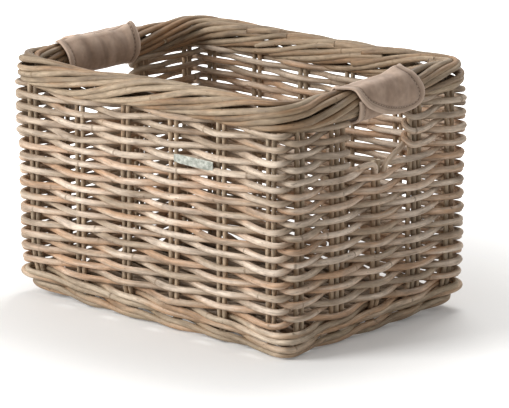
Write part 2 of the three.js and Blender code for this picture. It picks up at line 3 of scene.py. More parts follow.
import bpy
import numpy as np
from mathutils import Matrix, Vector


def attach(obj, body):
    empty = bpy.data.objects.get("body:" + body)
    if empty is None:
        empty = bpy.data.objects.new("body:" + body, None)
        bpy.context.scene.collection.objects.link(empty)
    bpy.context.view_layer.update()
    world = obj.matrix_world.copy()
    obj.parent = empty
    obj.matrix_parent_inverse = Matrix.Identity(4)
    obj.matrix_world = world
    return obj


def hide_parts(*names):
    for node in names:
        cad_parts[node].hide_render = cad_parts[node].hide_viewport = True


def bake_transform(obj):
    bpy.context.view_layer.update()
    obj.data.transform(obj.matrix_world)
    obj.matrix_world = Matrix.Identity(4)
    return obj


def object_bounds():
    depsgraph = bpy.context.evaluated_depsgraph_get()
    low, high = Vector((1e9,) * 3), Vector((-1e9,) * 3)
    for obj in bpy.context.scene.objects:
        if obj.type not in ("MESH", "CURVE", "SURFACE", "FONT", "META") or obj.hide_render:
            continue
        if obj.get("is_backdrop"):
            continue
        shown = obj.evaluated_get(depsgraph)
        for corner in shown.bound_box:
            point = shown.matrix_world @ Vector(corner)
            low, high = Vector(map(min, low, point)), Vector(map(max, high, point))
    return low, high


# Bicycle basket of whole rattan rods with leather grips. Sizes are in millimetres and become
# metres when a mesh is made. The wall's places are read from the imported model.
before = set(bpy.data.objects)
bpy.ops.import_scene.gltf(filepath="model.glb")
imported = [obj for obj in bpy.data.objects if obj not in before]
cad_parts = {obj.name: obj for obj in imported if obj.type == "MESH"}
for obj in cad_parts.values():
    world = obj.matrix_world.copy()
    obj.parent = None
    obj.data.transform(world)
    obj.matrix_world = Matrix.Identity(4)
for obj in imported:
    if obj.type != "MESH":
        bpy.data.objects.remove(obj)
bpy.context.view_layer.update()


# Upright stakes
# Pairs of peeled rattan rods, three beside each handhold, stand on end in the foot and carry
# the whole weave. Each was pushed in by hand, so it leans and swells a little.

MM = 0.001
UP = np.array([0, 0, 1.0])
stake_radius = 2.85
stake_foot = 3.0
stake_spread = 8.8
stake_pressed = 5.6
stake_line = np.array([210.0, 150.0])
foot_rise = 40.0
rod_sides = 12
rod_step = 3.0
stick_step = 4.0
fine_step = 1.5
knot_spacing = 205.0
knot_swell, knot_reach = 0.32, 3.2
pattern_knots = 40
girth_wander, section_oval = 0.05, 0.045
worn_edge = 0.86
# For each side of the basket: the way outwards, the way on round it, and its groups of stakes.
sides = {"front": ((0, -1), (1, 0), 6), "right": ((1, 0), (0, 1), 5),
         "back": ((0, 1), (-1, 0), 6), "left": ((-1, 0), (0, -1), 5)}


def node_points(node):
    """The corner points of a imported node, in millimetres."""
    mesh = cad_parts[node].data
    points = np.empty(len(mesh.vertices) * 3, np.float32)
    mesh.vertices.foreach_get("co", points)
    return points.reshape(-1, 3).astype(float) / MM


def ramp(x, start, length):
    """0 up to start, then straight up to 1 over length. A negative length runs the other way."""
    return np.clip((x - start) / length, 0, 1)


def bell(x, middle, width):
    """A bell curve, 1 at its middle: exp of minus the square of the distance over the width."""
    return np.exp(-((x - middle) / width) ** 2)


def near(points, place, reach):
    """A bell curve that is 1 at a place in plan and falls off over reach."""
    away = ((points[..., :2] - np.array(place)) ** 2).sum(axis=-1)
    return np.exp(-away / (2 * reach ** 2))


def unit(vectors):
    """Vectors divided by their own lengths."""
    return vectors / np.linalg.norm(vectors, axis=-1, keepdims=True)


def travelled(path):
    """The length of a path up to each of its points: the running sum of its steps."""
    return np.concatenate([[0], np.cumsum(np.linalg.norm(np.diff(path, axis=0), axis=1))])


def at_lengths(s, lengths, path):
    """Points of a path at lengths s: each coordinate is read off against the length travelled."""
    return np.stack([np.interp(s, lengths, column) for column in path.T], axis=1)


def ripple(s, lengths, random):
    """A smooth wander along s between about -1 and 1: the mean of sine waves of the given
    lengths, each with its own chance start."""
    waves = [np.sin(2 * np.pi * (s / length + random.random())) for length in lengths]
    return np.mean(waves, axis=0) * 1.4


def resample(path, step):
    """Points every step along a path."""
    lengths = travelled(path)
    count = max(int(round(lengths[-1] / step)), 2) + 1
    return at_lengths(np.linspace(0, lengths[-1], count), lengths, path)


def relax(path, reach):
    """A path as a springy rod takes it: every point becomes the mean of its neighbours under a
    bell curve reach points wide. The path is turned over beyond its ends, so they stay put."""
    width = 3 * reach
    weight = np.exp(-0.5 * (np.arange(-width, width + 1) / reach) ** 2)
    before = 2 * path[0] - path[width:0:-1]
    after = 2 * path[-1] - path[-2:-width - 2:-1]
    longer = np.concatenate([before, path, after])
    columns = [np.convolve(column, weight / weight.sum(), "valid") for column in longer.T]
    return np.stack(columns, axis=1)


def spring(path, reach):
    """A route through a few points as a rod bends along it: fine steps, relaxed, rod steps."""
    return resample(relax(resample(path, fine_step), reach), rod_step)


# How the basket is out of true: a fade with height, a place in plan, its reach and its push.
out_of_true = (
    ("high", (215, 88), 78, (0, 0, 8.0)), ("high", (-110, -160), 62, (0, 0, -6.5)),
    ("high", (-225, -120), 45, (-5.0, 0, 0)), ("low", (212, 152), 62, (-7.0, -7.0, 5.5)),
    ("low", (-212, -152), 62, (7.0, 7.0, 5.5)), ("tip", (203, -143), 16, (6.5, -6.5, 0)))
full_corner, corner_swell, swell_height = np.array([208, 148]), 5.0, 21


def settle(points):
    """The basket is out of true, as hand work is. Bell curves in plan, fading with height, lift
    the rim at one corner, lower it along the front and draw it in on the left; tuck the foot in
    and up under two corners, keep every corner full just above it, and draw out its near tip."""
    z = points[..., 2]
    fades = {"high": ramp(z, 60, 200) ** 1.5, "low": ramp(z, 70, -70) ** 1.5,
             "tip": ramp(z, 30, -30)}
    full = corner_swell * bell(z, swell_height, 12) * near(np.abs(points), full_corner, 42)
    moved = np.array(points, float)
    moved[..., :2] += np.sign(points[..., :2]) * full[..., None]
    for fade, place, reach, push in out_of_true:
        moved += (fades[fade] * near(points, place, reach))[..., None] * np.array(push)
    return moved


def rod(path, radius, up, random, slant=0.0):
    """A rattan rod along a path. Ring i is centre + r(i, angle) (cos(angle) side + sin(angle) up),
    square to the path, where r swells a little along the rod, at its knots and across its section.
    Each end closes in a flat cut with a worn edge, which leans by slant. Returns points, the
    faces of its skin, those of its cut ends, and each point's straightened place: along the rod,
    then across and up."""
    path = settle(path)
    travel = unit(np.gradient(path, axis=0))
    side = unit(np.cross(travel, up))
    top = np.cross(side, travel)
    s = travelled(path) + random.uniform(0, pattern_knots) * knot_spacing
    from_knot = (s + knot_spacing / 2) % knot_spacing - knot_spacing / 2
    girth = radius * (1 + girth_wander * ripple(s, (47.0, 83.0, 151.0), random))
    girth += knot_swell * bell(from_knot, 0, knot_reach)
    angle = 2 * np.pi * np.arange(rod_sides) / rod_sides
    turn = 2.0 * ripple(s, (190.0, 310.0), random)
    ring = girth[:, None] * (1 + section_oval * np.cos(2 * angle + turn[:, None]))
    across = ring * np.cos(angle)
    above = ring * np.sin(angle)
    rings = path[:, None] + across[..., None] * side[:, None] + above[..., None] * top[:, None]
    caps = []
    for i, way in ((0, -1), (-1, 1)):
        for share, out in ((worn_edge, 0.9), (1.0, 0.3)):
            spoke = share * (across[i][:, None] * side[i] + above[i][:, None] * top[i])
            caps.append(path[i] + spoke + (way * out + slant * across[i])[:, None] * travel[i])
    rings = np.concatenate([caps[:2], rings, caps[:1:-1]])
    pick = np.concatenate([[0, 0], np.arange(len(s)), [-1, -1]])
    share = np.concatenate([[worn_edge, 1], np.ones(len(s)), [1, worn_edge]])[:, None]
    place = np.stack([s[pick][:, None] + 0 * angle, across[pick] * share, above[pick] * share],
                     axis=2)
    middles = [rings[0].mean(axis=0), rings[-1].mean(axis=0)]
    points = np.concatenate([rings.reshape(-1, 3), middles])
    places = np.concatenate([place.reshape(-1, 3), [[s[0], 0, 0], [s[-1], 0, 0]]])
    row = np.arange(len(rings) - 1)[:, None] * rod_sides
    this = np.arange(rod_sides)
    following = (this + 1) % rod_sides
    skin = [row + this, row + following, row + rod_sides + following, row + rod_sides + this]
    last = (len(rings) - 1) * rod_sides
    centre = np.full(rod_sides, len(rings) * rod_sides)
    cuts = np.concatenate([np.stack([following, this, centre], axis=1),
                           np.stack([last + this, last + following, centre + 1], axis=1)])
    return points, np.stack(skin, axis=2).reshape(-1, 4), cuts, places


def add_piece(name, points, faces, material, slot_name=None, smooth=True, **marks):
    """A mesh object at the origin from points in millimetres. Marks are values at its points, or
    at its faces for cut_end, that its material reads."""
    mesh = bpy.data.meshes.new(name)
    mesh.from_pydata(points * MM, [], faces)
    mesh.polygons.foreach_set("use_smooth", np.full(len(faces), smooth))
    for mark, values in marks.items():
        values = np.asarray(values, np.float32)
        kind, field = ("FLOAT", "value") if values.ndim == 1 else ("FLOAT_VECTOR", "vector")
        domain = "FACE" if mark == "cut_end" else "POINT"
        mesh.attributes.new(mark, kind, domain).data.foreach_set(field, values.ravel())
    mesh.update()
    mesh.materials.append(material)
    made = bpy.data.objects.new(name, mesh)
    bpy.context.scene.collection.objects.link(made)
    return made


def rod_piece(name, rods, material, node, slot_name):
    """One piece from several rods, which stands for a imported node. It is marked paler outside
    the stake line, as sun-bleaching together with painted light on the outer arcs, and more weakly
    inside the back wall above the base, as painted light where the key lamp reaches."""
    parts, skins, cuts, places = zip(*rods)
    shifts = np.cumsum([0] + [len(part) for part in parts])
    skins = np.concatenate([skin + shift for skin, shift in zip(skins, shifts)])
    cuts = np.concatenate([cut + shift for cut, shift in zip(cuts, shifts)])
    points = np.concatenate(parts)
    cut_end = np.concatenate([np.zeros(len(skins)), np.ones(len(cuts))])
    # Painted light: paler outside the stake line where light falls on the outer arcs
    # (sun-bleaching too) and inside the back wall above the base where the key lamp reaches; the
    # dips inside the stake line stay darker as painted shade.
    beyond = (np.abs(points[:, :2]) - stake_line).max(axis=1)
    lit_inside_back_wall = 0.8 * ramp(beyond, -1, -6) * ramp(points[:, 1], 110, 25) * ramp(points[:, 2], 50, 60)
    own = [np.full(len(place), place[0, 0] / (pattern_knots * knot_spacing)) for place in places]
    made = add_piece(name, points, skins.tolist() + cuts.tolist(), material, slot_name,
                     cut_end < 0.5, cut_end=cut_end, rod_place=np.concatenate(places),
                     bleached=np.maximum(ramp(beyond, -7, 16), lit_inside_back_wall),
                     own_tone=np.concatenate(own))
    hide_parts(node)
    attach(made, "basket")


def linear(hex_colour):
    """An sRGB hex colour as the linear values that a shader takes."""
    parts = [int(hex_colour[i:i + 2], 16) / 255 for i in (0, 2, 4)]
    return [c / 12.92 if c <= 0.04045 else ((c + 0.055) / 1.055) ** 2.4 for c in parts] + [1.0]


def shade(tree, kind, links=None, **settings):
    """Adds a shader node. Settings are its properties, or values of inputs given by name or
    _number, a colour as hex. Links join an input to another node, or to the output given. A Mix
    node mixes colours, in inputs 6 and 7."""
    made = tree.nodes.new("ShaderNode" + kind)
    if kind == "Mix":
        made.data_type = "RGBA"
    for key, value in settings.items():
        if key.startswith("_"):
            value = linear(value) if isinstance(value, str) else value
            made.inputs[int(key[1:])].default_value = value
        elif hasattr(made, key):
            setattr(made, key, value)
        else:
            made.inputs[key.replace("_", " ")].default_value = value
    for key, source in (links or {}).items():
        if hasattr(source, "outputs"):
            source = source.outputs[2 if source.bl_idname == "ShaderNodeMix" else 0]
        tree.links.new(source, made.inputs[key])
    return made


def bare_material(name):
    """A new material with no nodes yet, and its node tree."""
    material = bpy.data.materials.new(name)
    material.use_nodes = True
    material.node_tree.nodes.clear()
    return material, material.node_tree


def patterns(tree, place, roughness, table):
    """Cloudy patterns by name, from each one's length along the piece and width across it in
    millimetres, its detail and where it starts."""
    noises = {}
    for key, along, across, detail, start in table:
        spot = shade(tree, "Mapping", {0: place}, Location=(start, 0, 0),
                     Scale=(1 / along, 1 / across, 1 / across))
        noise = shade(tree, "TexNoise", {"Vector": spot}, Scale=1.0, Detail=detail,
                      Roughness=roughness)
        noises[key] = noise.outputs["Fac"]
    return noises


def ranges(tree, noises, table):
    """Masks by name, from the pattern that each comes from: between low and high of the pattern
    it goes straight from least to most."""
    return {key: shade(tree, "MapRange", {"Value": noises[pattern]}, _1=low, _2=high, _3=least,
                       _4=most) for key, pattern, low, high, least, most in table}


def rattan(name, pale, warm, grey, dark):
    """Peeled rattan left out in the weather: a hard waxy skin, warm brown or gone grey in lengths
    of some centimetres and paled by the sun in patches, with fine fibres along the rod, dark
    freckles, a dark ring at each knot and paler pith where a rod is cut. The pale patches are also
    painted light: they fall on the outer arcs of the weave and on the inside of the back wall, and
    the dips between arcs are left darker as painted shade."""
    material, tree = bare_material(name)
    place = shade(tree, "Attribute", attribute_name="rod_place").outputs["Vector"]
    noises = patterns(tree, place, 0.55, (
        ("hue", 105, 14, 1.0, 0), ("tone", 48, 9, 3.0, 400), ("fibre", 24, 0.8, 4.0, 800),
        ("freckle", 6, 2.4, 2.0, 1200), ("bleach", 80, 7, 3.0, 1600),
        ("mottle", 9, 3.4, 2.0, 2000)))
    masks = ranges(tree, noises, (
        ("shadow", "tone", 0.30, 0.52, 0.62, 0.0), ("streak", "fibre", 0.3, 0.7, 0.80, 1.16),
        ("blotch", "mottle", 0.34, 0.66, 0.84, 1.1), ("spot", "freckle", 0.66, 0.74, 0.0, 0.55),
        ("plain", "bleach", 0.42, 0.56, 0.0, 0.6), ("gloss", "bleach", 0.3, 0.7, 0.50, 0.75)))
    own = shade(tree, "Attribute", attribute_name="own_tone").outputs["Fac"]
    own_hue = shade(tree, "MapRange", {"Value": own}, _3=-0.15, _4=0.15)
    own_sun = shade(tree, "Math", {0: own}, operation="PINGPONG", _1=0.25)
    tinted = shade(tree, "Math", {0: noises["hue"], 1: own_hue}, operation="ADD")
    hue = shade(tree, "MapRange", {"Value": tinted}, _1=0.38, _2=0.62)
    base = shade(tree, "Mix", {0: hue}, _6=warm, _7=grey)
    # Painted light and shade with sun-bleaching: pale on outer arcs and inside the back wall,
    # darker in the dips.
    bleach_and_light = shade(tree, "Attribute", attribute_name="bleached").outputs["Fac"]
    sunned = shade(tree, "Math", {0: noises["bleach"], 1: own_sun}, operation="ADD")
    sun = shade(tree, "MapRange", {"Value": sunned}, _1=0.46, _2=0.76, _3=0.08, _4=1.1)
    pale_bleach_light_share = shade(tree, "Math", {0: bleach_and_light, 1: sun}, operation="MULTIPLY", use_clamp=True)
    light = shade(tree, "Mix", {0: pale_bleach_light_share, 6: base}, _7=pale)
    toned = shade(tree, "Mix", {0: masks["shadow"], 6: light}, _7=dark)
    both = shade(tree, "Math", {0: masks["streak"], 1: masks["blotch"]}, operation="MULTIPLY")
    streaked = shade(tree, "Mix", {6: toned, 7: both}, blend_type="MULTIPLY", _0=1.0)
    freckled = shade(tree, "Mix", {0: masks["spot"], 6: streaked}, _7="4a3526")
    length = shade(tree, "SeparateXYZ", {0: place})
    from_knot = shade(tree, "Math", {0: length}, operation="PINGPONG", _1=knot_spacing / 2)
    knot = shade(tree, "MapRange", {"Value": from_knot, 3: masks["plain"]}, _1=0.5, _2=1.9, _4=0.0)
    knotted = shade(tree, "Mix", {0: knot, 6: freckled}, _7="6a5138")
    pores = shade(tree, "TexVoronoi", {"Vector": place}, Scale=1.6)
    pith = shade(tree, "ValToRGB", {0: pores.outputs["Distance"]})
    for stop, at, tone in zip(pith.color_ramp.elements, (0.10, 0.30), ("8a745a", "dccbb0")):
        stop.position, stop.color = at, linear(tone)
    cut = shade(tree, "Attribute", attribute_name="cut_end").outputs["Fac"]
    colour = shade(tree, "Mix", {0: cut, 6: knotted, 7: pith})
    height = shade(tree, "Math", {0: noises["fibre"], 1: knot}, operation="SUBTRACT")
    bump = shade(tree, "Bump", {"Height": height}, Strength=0.55, Distance=0.0005)
    skin = shade(tree, "BsdfPrincipled", {"Base Color": colour, "Roughness": masks["gloss"],
                                          "Normal": bump}, IOR=1.45)
    shade(tree, "OutputMaterial", {"Surface": skin})
    return material


stake_rattan = rattan("peeled_rattan_stakes", "cbb89e", "a88a6c", "94826c", "68523e")
group_names = [f"stake_{side}_{i + 1}" for side, (_, _, n) in sides.items() for i in range(n)]
group_out = np.array([out for out, _, n in sides.values() for _ in range(n)], float)
group_on = np.array([on for _, on, n in sides.values() for _ in range(n)], float)
group_count = len(group_names)
group_top, group_middle, group_rods = [], [], []
for name in group_names:
    points = node_points(name)
    head = points[points[:, 2] > points[:, 2].max() - 1][:, :2]
    group_top.append(points[:, 2].max())
    group_middle.append((head.min(axis=0) + head.max(axis=0)) / 2)
    width = np.ptp(head, axis=0).max()
    group_rods.append(int(round((width - 2 * stake_radius) / stake_spread)) + 1)
group_middle, group_rods = np.array(group_middle), np.array(group_rods)
wall_half = np.abs(group_middle).max(axis=0)
foot_points = node_points("stake_front_1")
foot_inset = wall_half[1] + foot_points[foot_points[:, 2] < 1][:, 1].mean()


def on_wall(xy, z):
    """A point of the wall at height z, drawn in below foot_rise where the stakes lean."""
    inset = foot_inset * ramp(z, foot_rise, -foot_rise)
    return np.concatenate([xy * (1 - inset[:, None] / wall_half), z[:, None]], axis=1)


for g, name in enumerate(group_names):
    random = np.random.default_rng(100 + g)
    rods = []
    for i in range(group_rods[g]):
        z = np.linspace(stake_foot, group_top[g] + 2 * (group_rods[g] == 2), 60)
        shift = i - (group_rods[g] - 1) / 2
        spread = np.interp(z, [0, foot_rise], [stake_pressed, stake_spread])
        spread = spread + 0.7 * ripple(z, (160.0, 260.0), random)
        path = on_wall(group_middle[g] + group_on[g] * (shift * spread)[:, None], z)
        path[:, :2] += group_out[g] * (0.35 * ripple(z, (120.0, 210.0), random))[:, None]
        size = stake_radius * random.uniform(0.94, 1.05)
        rods.append(rod(resample(path, stick_step), size, np.array([*group_out[g], 0.0]), random))
    rod_piece(f"{name}_rods", rods, stake_rattan, name, "stake_rattan")


# Lower wall weave
# Two long rods chase each other round the stakes, over one and under one, each taking every
# second row. They are whole peeled rods of uneven thickness, spliced where one runs out.

weaver_radius = 3.75
weave_out = stake_radius + weaver_radius + 0.35
face_rise = 1.2
row_count = 29
split_rows = 8
corner_handle = 21.0
corner_push = 7.0
# A direction seen from the middle, with the short way stretched, stands for a place on the wall.
wall_shape, wall_round = 1.4, 230
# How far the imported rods' facets reach above and below the middle of a rod.
facet_up, facet_down = 4.02, 3.26
splice_every = 1900.0
splice_inside, splice_beside, splice_least = 4, 9, 60
wall_rattan = rattan("peeled_rattan_weave", "e3d1be", "ba9473", "a7937c", "6e5844")
top_row = node_points("upper_front_weaver_1")[:, 2].max() - facet_up
bottom_row = node_points("wall_weaver_a1")[:, 2].min() + facet_down
row_pitch = (top_row - bottom_row) / (row_count - 1)
seam_after = group_names.index("stake_back_4")
seam = (group_middle[seam_after] + group_middle[group_names.index("stake_back_3")]) / 2


def row_height(row):
    """The height of a row's middle, counted from the top."""
    return top_row - row * row_pitch


def sag(place, z):
    """The unevenness of the whole wall at a place along it and a height: rows that lie on each
    other rise and dip together, so two sine waves change slowly from row to row. It fades out
    towards the foot and the rim."""
    slow = np.sin(place / 61.0 + 0.021 * z + 0.4) + np.sin(place / 37.0 - 0.034 * z + 2.0)
    return 0.55 * slow * ramp(z, 8, 40) * ramp(z, 262, -30)


def weave(stops, out, random, wander=1.5):
    """The route of one rod past stops (group, face, height, way), face 1 outside and -1 inside.
    Beside a group it runs straight past all the stakes; on along a side it follows half a cosine
    wave from face to face; round a corner it takes a cubic curve whose handles run on along each
    side and a little outwards; back round a group it takes half a circle. It lies lower outside
    than inside, and wanders most beside the stakes and not at all where rods cross."""
    group, face, height, way = np.array(stops, float).T
    group = group.astype(int)
    bump = random.uniform(-wander, wander, len(stops))
    off = (bump - face_rise * face)[:, None]
    outwards, onwards = group_out[group], group_on[group] * way[:, None]
    half = ((group_rods[group] - 1) / 2 * stake_spread)[:, None]
    entry, leave = group_middle[group] - onwards * half, group_middle[group] + onwards * half
    aside = outwards * out * face[:, None]
    beside = np.linspace(0, 1, 4)[:, None]
    angle = np.linspace(0, np.pi, 13)[:, None]
    t = np.linspace(0, 1, 15)[:, None]
    ease = (1 - np.cos(np.pi * t)) / 2
    paths = []
    for i in range(len(stops)):
        flat = entry[i] + (leave[i] - entry[i]) * beside + aside[i]
        paths.append(on_wall(flat, height[i] + 0 * flat[:, 0]))
        paths[-1][:, 2:] += off[i]
        if i + 1 == len(stops):
            break
        rise = height[i + 1] - height[i]
        if group[i + 1] == group[i]:
            flat = leave[i] + onwards[i] * out * np.sin(angle) + aside[i] * np.cos(angle)
            paths.append(on_wall(flat, (height[i] + rise * (1 - np.cos(angle)) / 2)[:, 0]))
            paths[-1][:, 2:] += off[i] * (1 - angle / np.pi) + off[i + 1] * angle / np.pi
            continue
        if np.allclose(outwards[i], outwards[i + 1]):
            flat = leave[i] + (entry[i + 1] - leave[i]) * t + aside[i]
            flat = flat + (aside[i + 1] - aside[i]) * ease
        else:
            start, finish = leave[i] + aside[i], entry[i + 1] + aside[i + 1]
            first = start + onwards[i] * corner_handle + outwards[i] * corner_push
            second = finish - onwards[i + 1] * corner_handle + outwards[i + 1] * corner_push
            flat = start * (1 - t) ** 3 + first * 3 * t * (1 - t) ** 2
            flat = flat + second * 3 * t ** 2 * (1 - t) + finish * t ** 3
        paths.append(on_wall(flat, (height[i] + rise * ease)[:, 0]))
        fading, growing = ramp(t, 0.5, -0.5) ** 1.5, ramp(t, 0.5, 0.5) ** 1.5
        paths[-1][:, 2:] += off[i] * fading + off[i + 1] * growing
    path = np.concatenate(paths)
    around = np.arctan2(path[:, 1] * wall_shape, path[:, 0]) * wall_round
    path[:, 2] += sag(around, path[:, 2])
    keep = np.concatenate([[True], np.linalg.norm(np.diff(path, axis=0), axis=1) > 0.05])
    return spring(path[keep], 3)


def chase(first_row, turns):
    """Stops of one long rod that goes round the basket and climbs two rows each turn."""
    steps = np.arange(turns * group_count)
    rows = first_row - 2 * (steps // group_count)
    groups = (seam_after + steps) % group_count
    return [(g, 1 if (r + g) % 2 else -1, row_height(r), 1) for g, r in zip(groups, rows)]


def spliced(path, random):
    """A long rod as the lengths it is made up of. Each ends in a cut against the inside of a
    stake, where the next one starts, at places about splice_every apart."""
    away = (np.abs(path[:, :2]) - wall_half).max(axis=1)
    beside = np.abs(path[:, None, :2] - group_middle).sum(axis=2).min(axis=1)
    hidden = np.flatnonzero((away < -splice_inside) & (beside < splice_beside))
    rods = []
    start = 0
    while start < len(path):
        later = hidden[hidden > start + int(splice_every * random.uniform(0.6, 1.3) / rod_step)]
        enough = len(later) and later[0] < len(path) - splice_least
        stop = later[0] if enough else len(path)
        size = weaver_radius * random.uniform(0.93, 1.07)
        rods.append(rod(path[start:stop], size, UP, random, 0.5))
        start = stop + 1
    return rods


for letter, row, shares in (("a", row_count - 1, (4, 4, 3)), ("b", row_count - 2, (4, 3, 3))):
    for i, turns in enumerate(shares):
        # Each end is carried on to the middle of the back, where the next length begins, but for
        # the first and last ends of rod b.
        name = f"wall_weaver_{letter}{i + 1}"
        random = np.random.default_rng(200 + 10 * i + ord(letter))
        path = weave(chase(row, turns), weave_out, random)
        last_row = row - 2 * (turns - 1)
        start = row_height(row) - (0 if row == row_count - 1 else row_pitch)
        end = row_height(last_row) + (0 if last_row == split_rows else row_pitch)
        route = [[[seam[0] - 0.4, seam[1], start]], path, [[seam[0] + 0.4, seam[1], end]]]
        free_start, free_end = letter == "b" and i == 0, letter == "b" and i == 2
        path = spring(np.concatenate(route[int(free_start):3 - int(free_end)]), 4)
        rod_piece(f"{name}_rods", spliced(path, random), wall_rattan, name, "weaver_rattan")
        row -= 2 * turns


# Upper wall weave
# Beside the handholds the rows turn back round the stakes that edge each opening, so each half
# of the wall is woven to and fro, four rows to a rod. On the right sill two ends are bent down
# on either side of the stake in the middle.

upper_rattan = rattan("peeled_rattan_upper_rows", "dfcdb9", "b48f6e", "a18d77", "6c5542")
sill_rod_radius = 3.3
front_right, back_right, back_left, front_left = np.flatnonzero(group_rods == 3)
sill_ends = {
    "front": [(203.3, -76, 194), (203.6, -60, 194.5), (209, -47, 196.5), (215.5, -30, 199.5),
              (217, -16, 200.5), (217, -8.5, 198.5), (216, -6.8, 193), (214.5, -6.5, 187)],
    "back": [(203.3, 76, 210), (203.6, 62, 210), (208, 50, 209.5), (214.5, 36, 207),
             (217.5, 20, 203), (217.5, 10, 198.5), (216.5, 6.8, 193), (215, 6.2, 187)],
}


def to_and_fro(start, stop):
    """Stops of a rod that runs from one handhold's edge to the other's and back, row by row. A
    first stop outside begins from the inside of the same stakes, so that no cut end shows."""
    forth = np.arange(start, stop + 1 + (group_count if stop < start else 0)) % group_count
    stops = []
    for row in range(split_rows):
        way = 1 if row % 2 == 0 else -1
        stops += [(g, 1 if (row + g) % 2 else -1, row_height(row), way) for g in forth[::way]]
    if stops[0][1] > 0:
        stops.insert(0, (start, -1, row_height(0) + 5.0, -1))
    return stops


for half, start, stop in (("front", front_left, front_right), ("back", back_right, back_left)):
    random = np.random.default_rng(300 + len(half))
    route = weave(to_and_fro(start, stop), weave_out, random)
    # The two lengths meet behind the first stakes that the middle row passes on the inside.
    after = (start + 1 + (start + 1) % 2) % group_count
    hidden = [*(group_middle[after] - group_out[after] * weave_out), row_height(4)]
    joint = np.abs(route - hidden).sum(axis=1).argmin()
    for i, length in enumerate((route[:joint], route[joint + 1:-4])):
        name = f"upper_{half}_weaver_{i + 1}"
        rods = [rod(length, weaver_radius * (0.97 + 0.05 * i), UP, random, 0.5)]
        if i == 1:
            end = spring(np.array(sill_ends[half], float), 3)
            rods.append(rod(end, sill_rod_radius, np.array([0.3, 0.2, 1.0]), random, 0.5))
        rod_piece(f"{name}_rod", rods, upper_rattan, name, "weaver_rattan")


# Foot
# Short peeled rods slant from under the wall down to the edge that it stands on, over two stakes
# and under one, so close that they lie on each other. They fall towards one corner, go round it
# and climb again.

foot_rattan = rattan("peeled_rattan_foot", "d6c4ae", "b18d6c", "9c8970", "6c563f")
foot_radius = 3.6
foot_faces = (-1, 1, 1, -1, 1, 1, -1)
foot_heights = (32.0, 29.0, 22.6, 15.6, 12.4, 6.2, 4.2)
foot_floor = 1.2 * foot_radius - 0.3
foot_rods = {f"foot_rod_{i + 1}": [] for i in range(4)}
last_stage = len(foot_heights) - 1
half_round = group_count // 2
lowest = group_names.index("stake_front_6")
# Rod by rod, its stops (group, stage of the fall): down to the lowest corner and up beyond it.
foot_lengths = []
for fall in range(1, last_stage + half_round - 1):
    steps = range(max(0, fall - last_stage), min(half_round - 1, fall) + 1)
    down = [((lowest - p) % group_count, fall - p) for p in reversed(steps)]
    climb = [((lowest + 1 + p) % group_count, fall - p) for p in steps]
    if fall < last_stage:
        foot_lengths.append(down + climb)
    elif fall > half_round - 1:
        foot_lengths.append(climb + down)
    else:
        foot_lengths += [down, climb]
for i, length in enumerate(foot_lengths):
    random = np.random.default_rng(400 + i)
    stops = [(g, foot_faces[stage], foot_heights[stage] + random.uniform(-0.5, 0.5), 1)
             for g, stage in length]
    route = weave(stops, stake_radius + foot_radius, random, 0.6)
    route[:, 2] = np.maximum(route[:, 2], foot_floor)
    size = foot_radius * random.uniform(0.92, 1.06)
    foot_rods[f"foot_rod_{i % 4 + 1}"].append(rod(spring(route, 4), size, UP, random, 0.3))
for name, rods in foot_rods.items():
    rod_piece(f"{name}_rods", rods, foot_rattan, name, "foot_rattan")


# Base
# Pairs of sticks run across the basket, pressed together, and one long rod is woven over and
# under them to and fro. Its turns lie against the foot.

base_rattan = rattan("peeled_rattan_base", "bca68a", "987c60", "84725e", "5c4836")
base_radius = 3.4
base_row_gap = 9.85
base_out = stake_radius + base_radius - 0.1
stick_apart = 2.95
stick_middle = []
for i in range(5):
    name = f"base_stick_{i + 1}"
    points = node_points(name)
    low, high = points.min(axis=0), points.max(axis=0)
    centre = (low + high) / 2
    stick_middle.append(centre)
    random = np.random.default_rng(500 + i)
    rods = []
    for sign in (-1, 1):
        y = np.linspace(low[1] + 1, high[1] - 1, 60)
        x = centre[0] + sign * (stick_apart + 0.2 * ripple(y, (90.0, 150.0), random))
        z = centre[2] + 0.2 * ripple(y, (70.0, 110.0), random)
        path = resample(np.stack([x, y, z], axis=1), stick_step)
        rods.append(rod(path, stake_radius, UP, random))
    rod_piece(f"{name}_rods", rods, base_rattan, name, "base_rattan")

stick_middle = np.array(stick_middle)
points = node_points("base_weaver")
turn_reach = points[:, 0].max() - base_radius
first_y, last_y = points[:, 1].min() + base_radius, points[:, 1].max() - base_radius
row_places = np.linspace(first_y, last_y, int(round((last_y - first_y) / base_row_gap)) + 1)
stations = np.concatenate([[-turn_reach], stick_middle[:, 0], [turn_reach]])
x = np.linspace(-turn_reach, turn_reach, 140)
place = np.interp(x, stations, np.arange(len(stations)))
k = np.minimum(place.astype(int), len(stations) - 2)
ease = (1 - np.cos(np.pi * (place - k))) / 2
lines = []
for r, y in enumerate(row_places):
    face = 1 - 2.0 * ((np.arange(5) + r) % 2)
    face = np.concatenate([face[:1], face, face[-1:]])
    lift = face[k] + (face[k + 1] - face[k]) * ease
    line = np.stack([x, 0 * x + y, stick_middle[0, 2] + base_out * lift], axis=1)
    lines.append(line if r % 2 == 0 else line[::-1])
random = np.random.default_rng(550)
path = spring(np.concatenate(lines), 3)
path[:, 2] += 0.3 * ripple(np.arange(len(path)) * rod_step, (90.0, 170.0), random)
base_rod = rod(path, base_radius, UP, random)
rod_piece("base_weaver_rod", [base_rod], base_rattan, "base_weaver", "base_rattan")


# Rim
# Thick rods are laid side by side round a hollow middle with a slow twist, and tie the tops of
# the stakes together. Each is spliced: it ends in a cut on the inside, where the next begins.

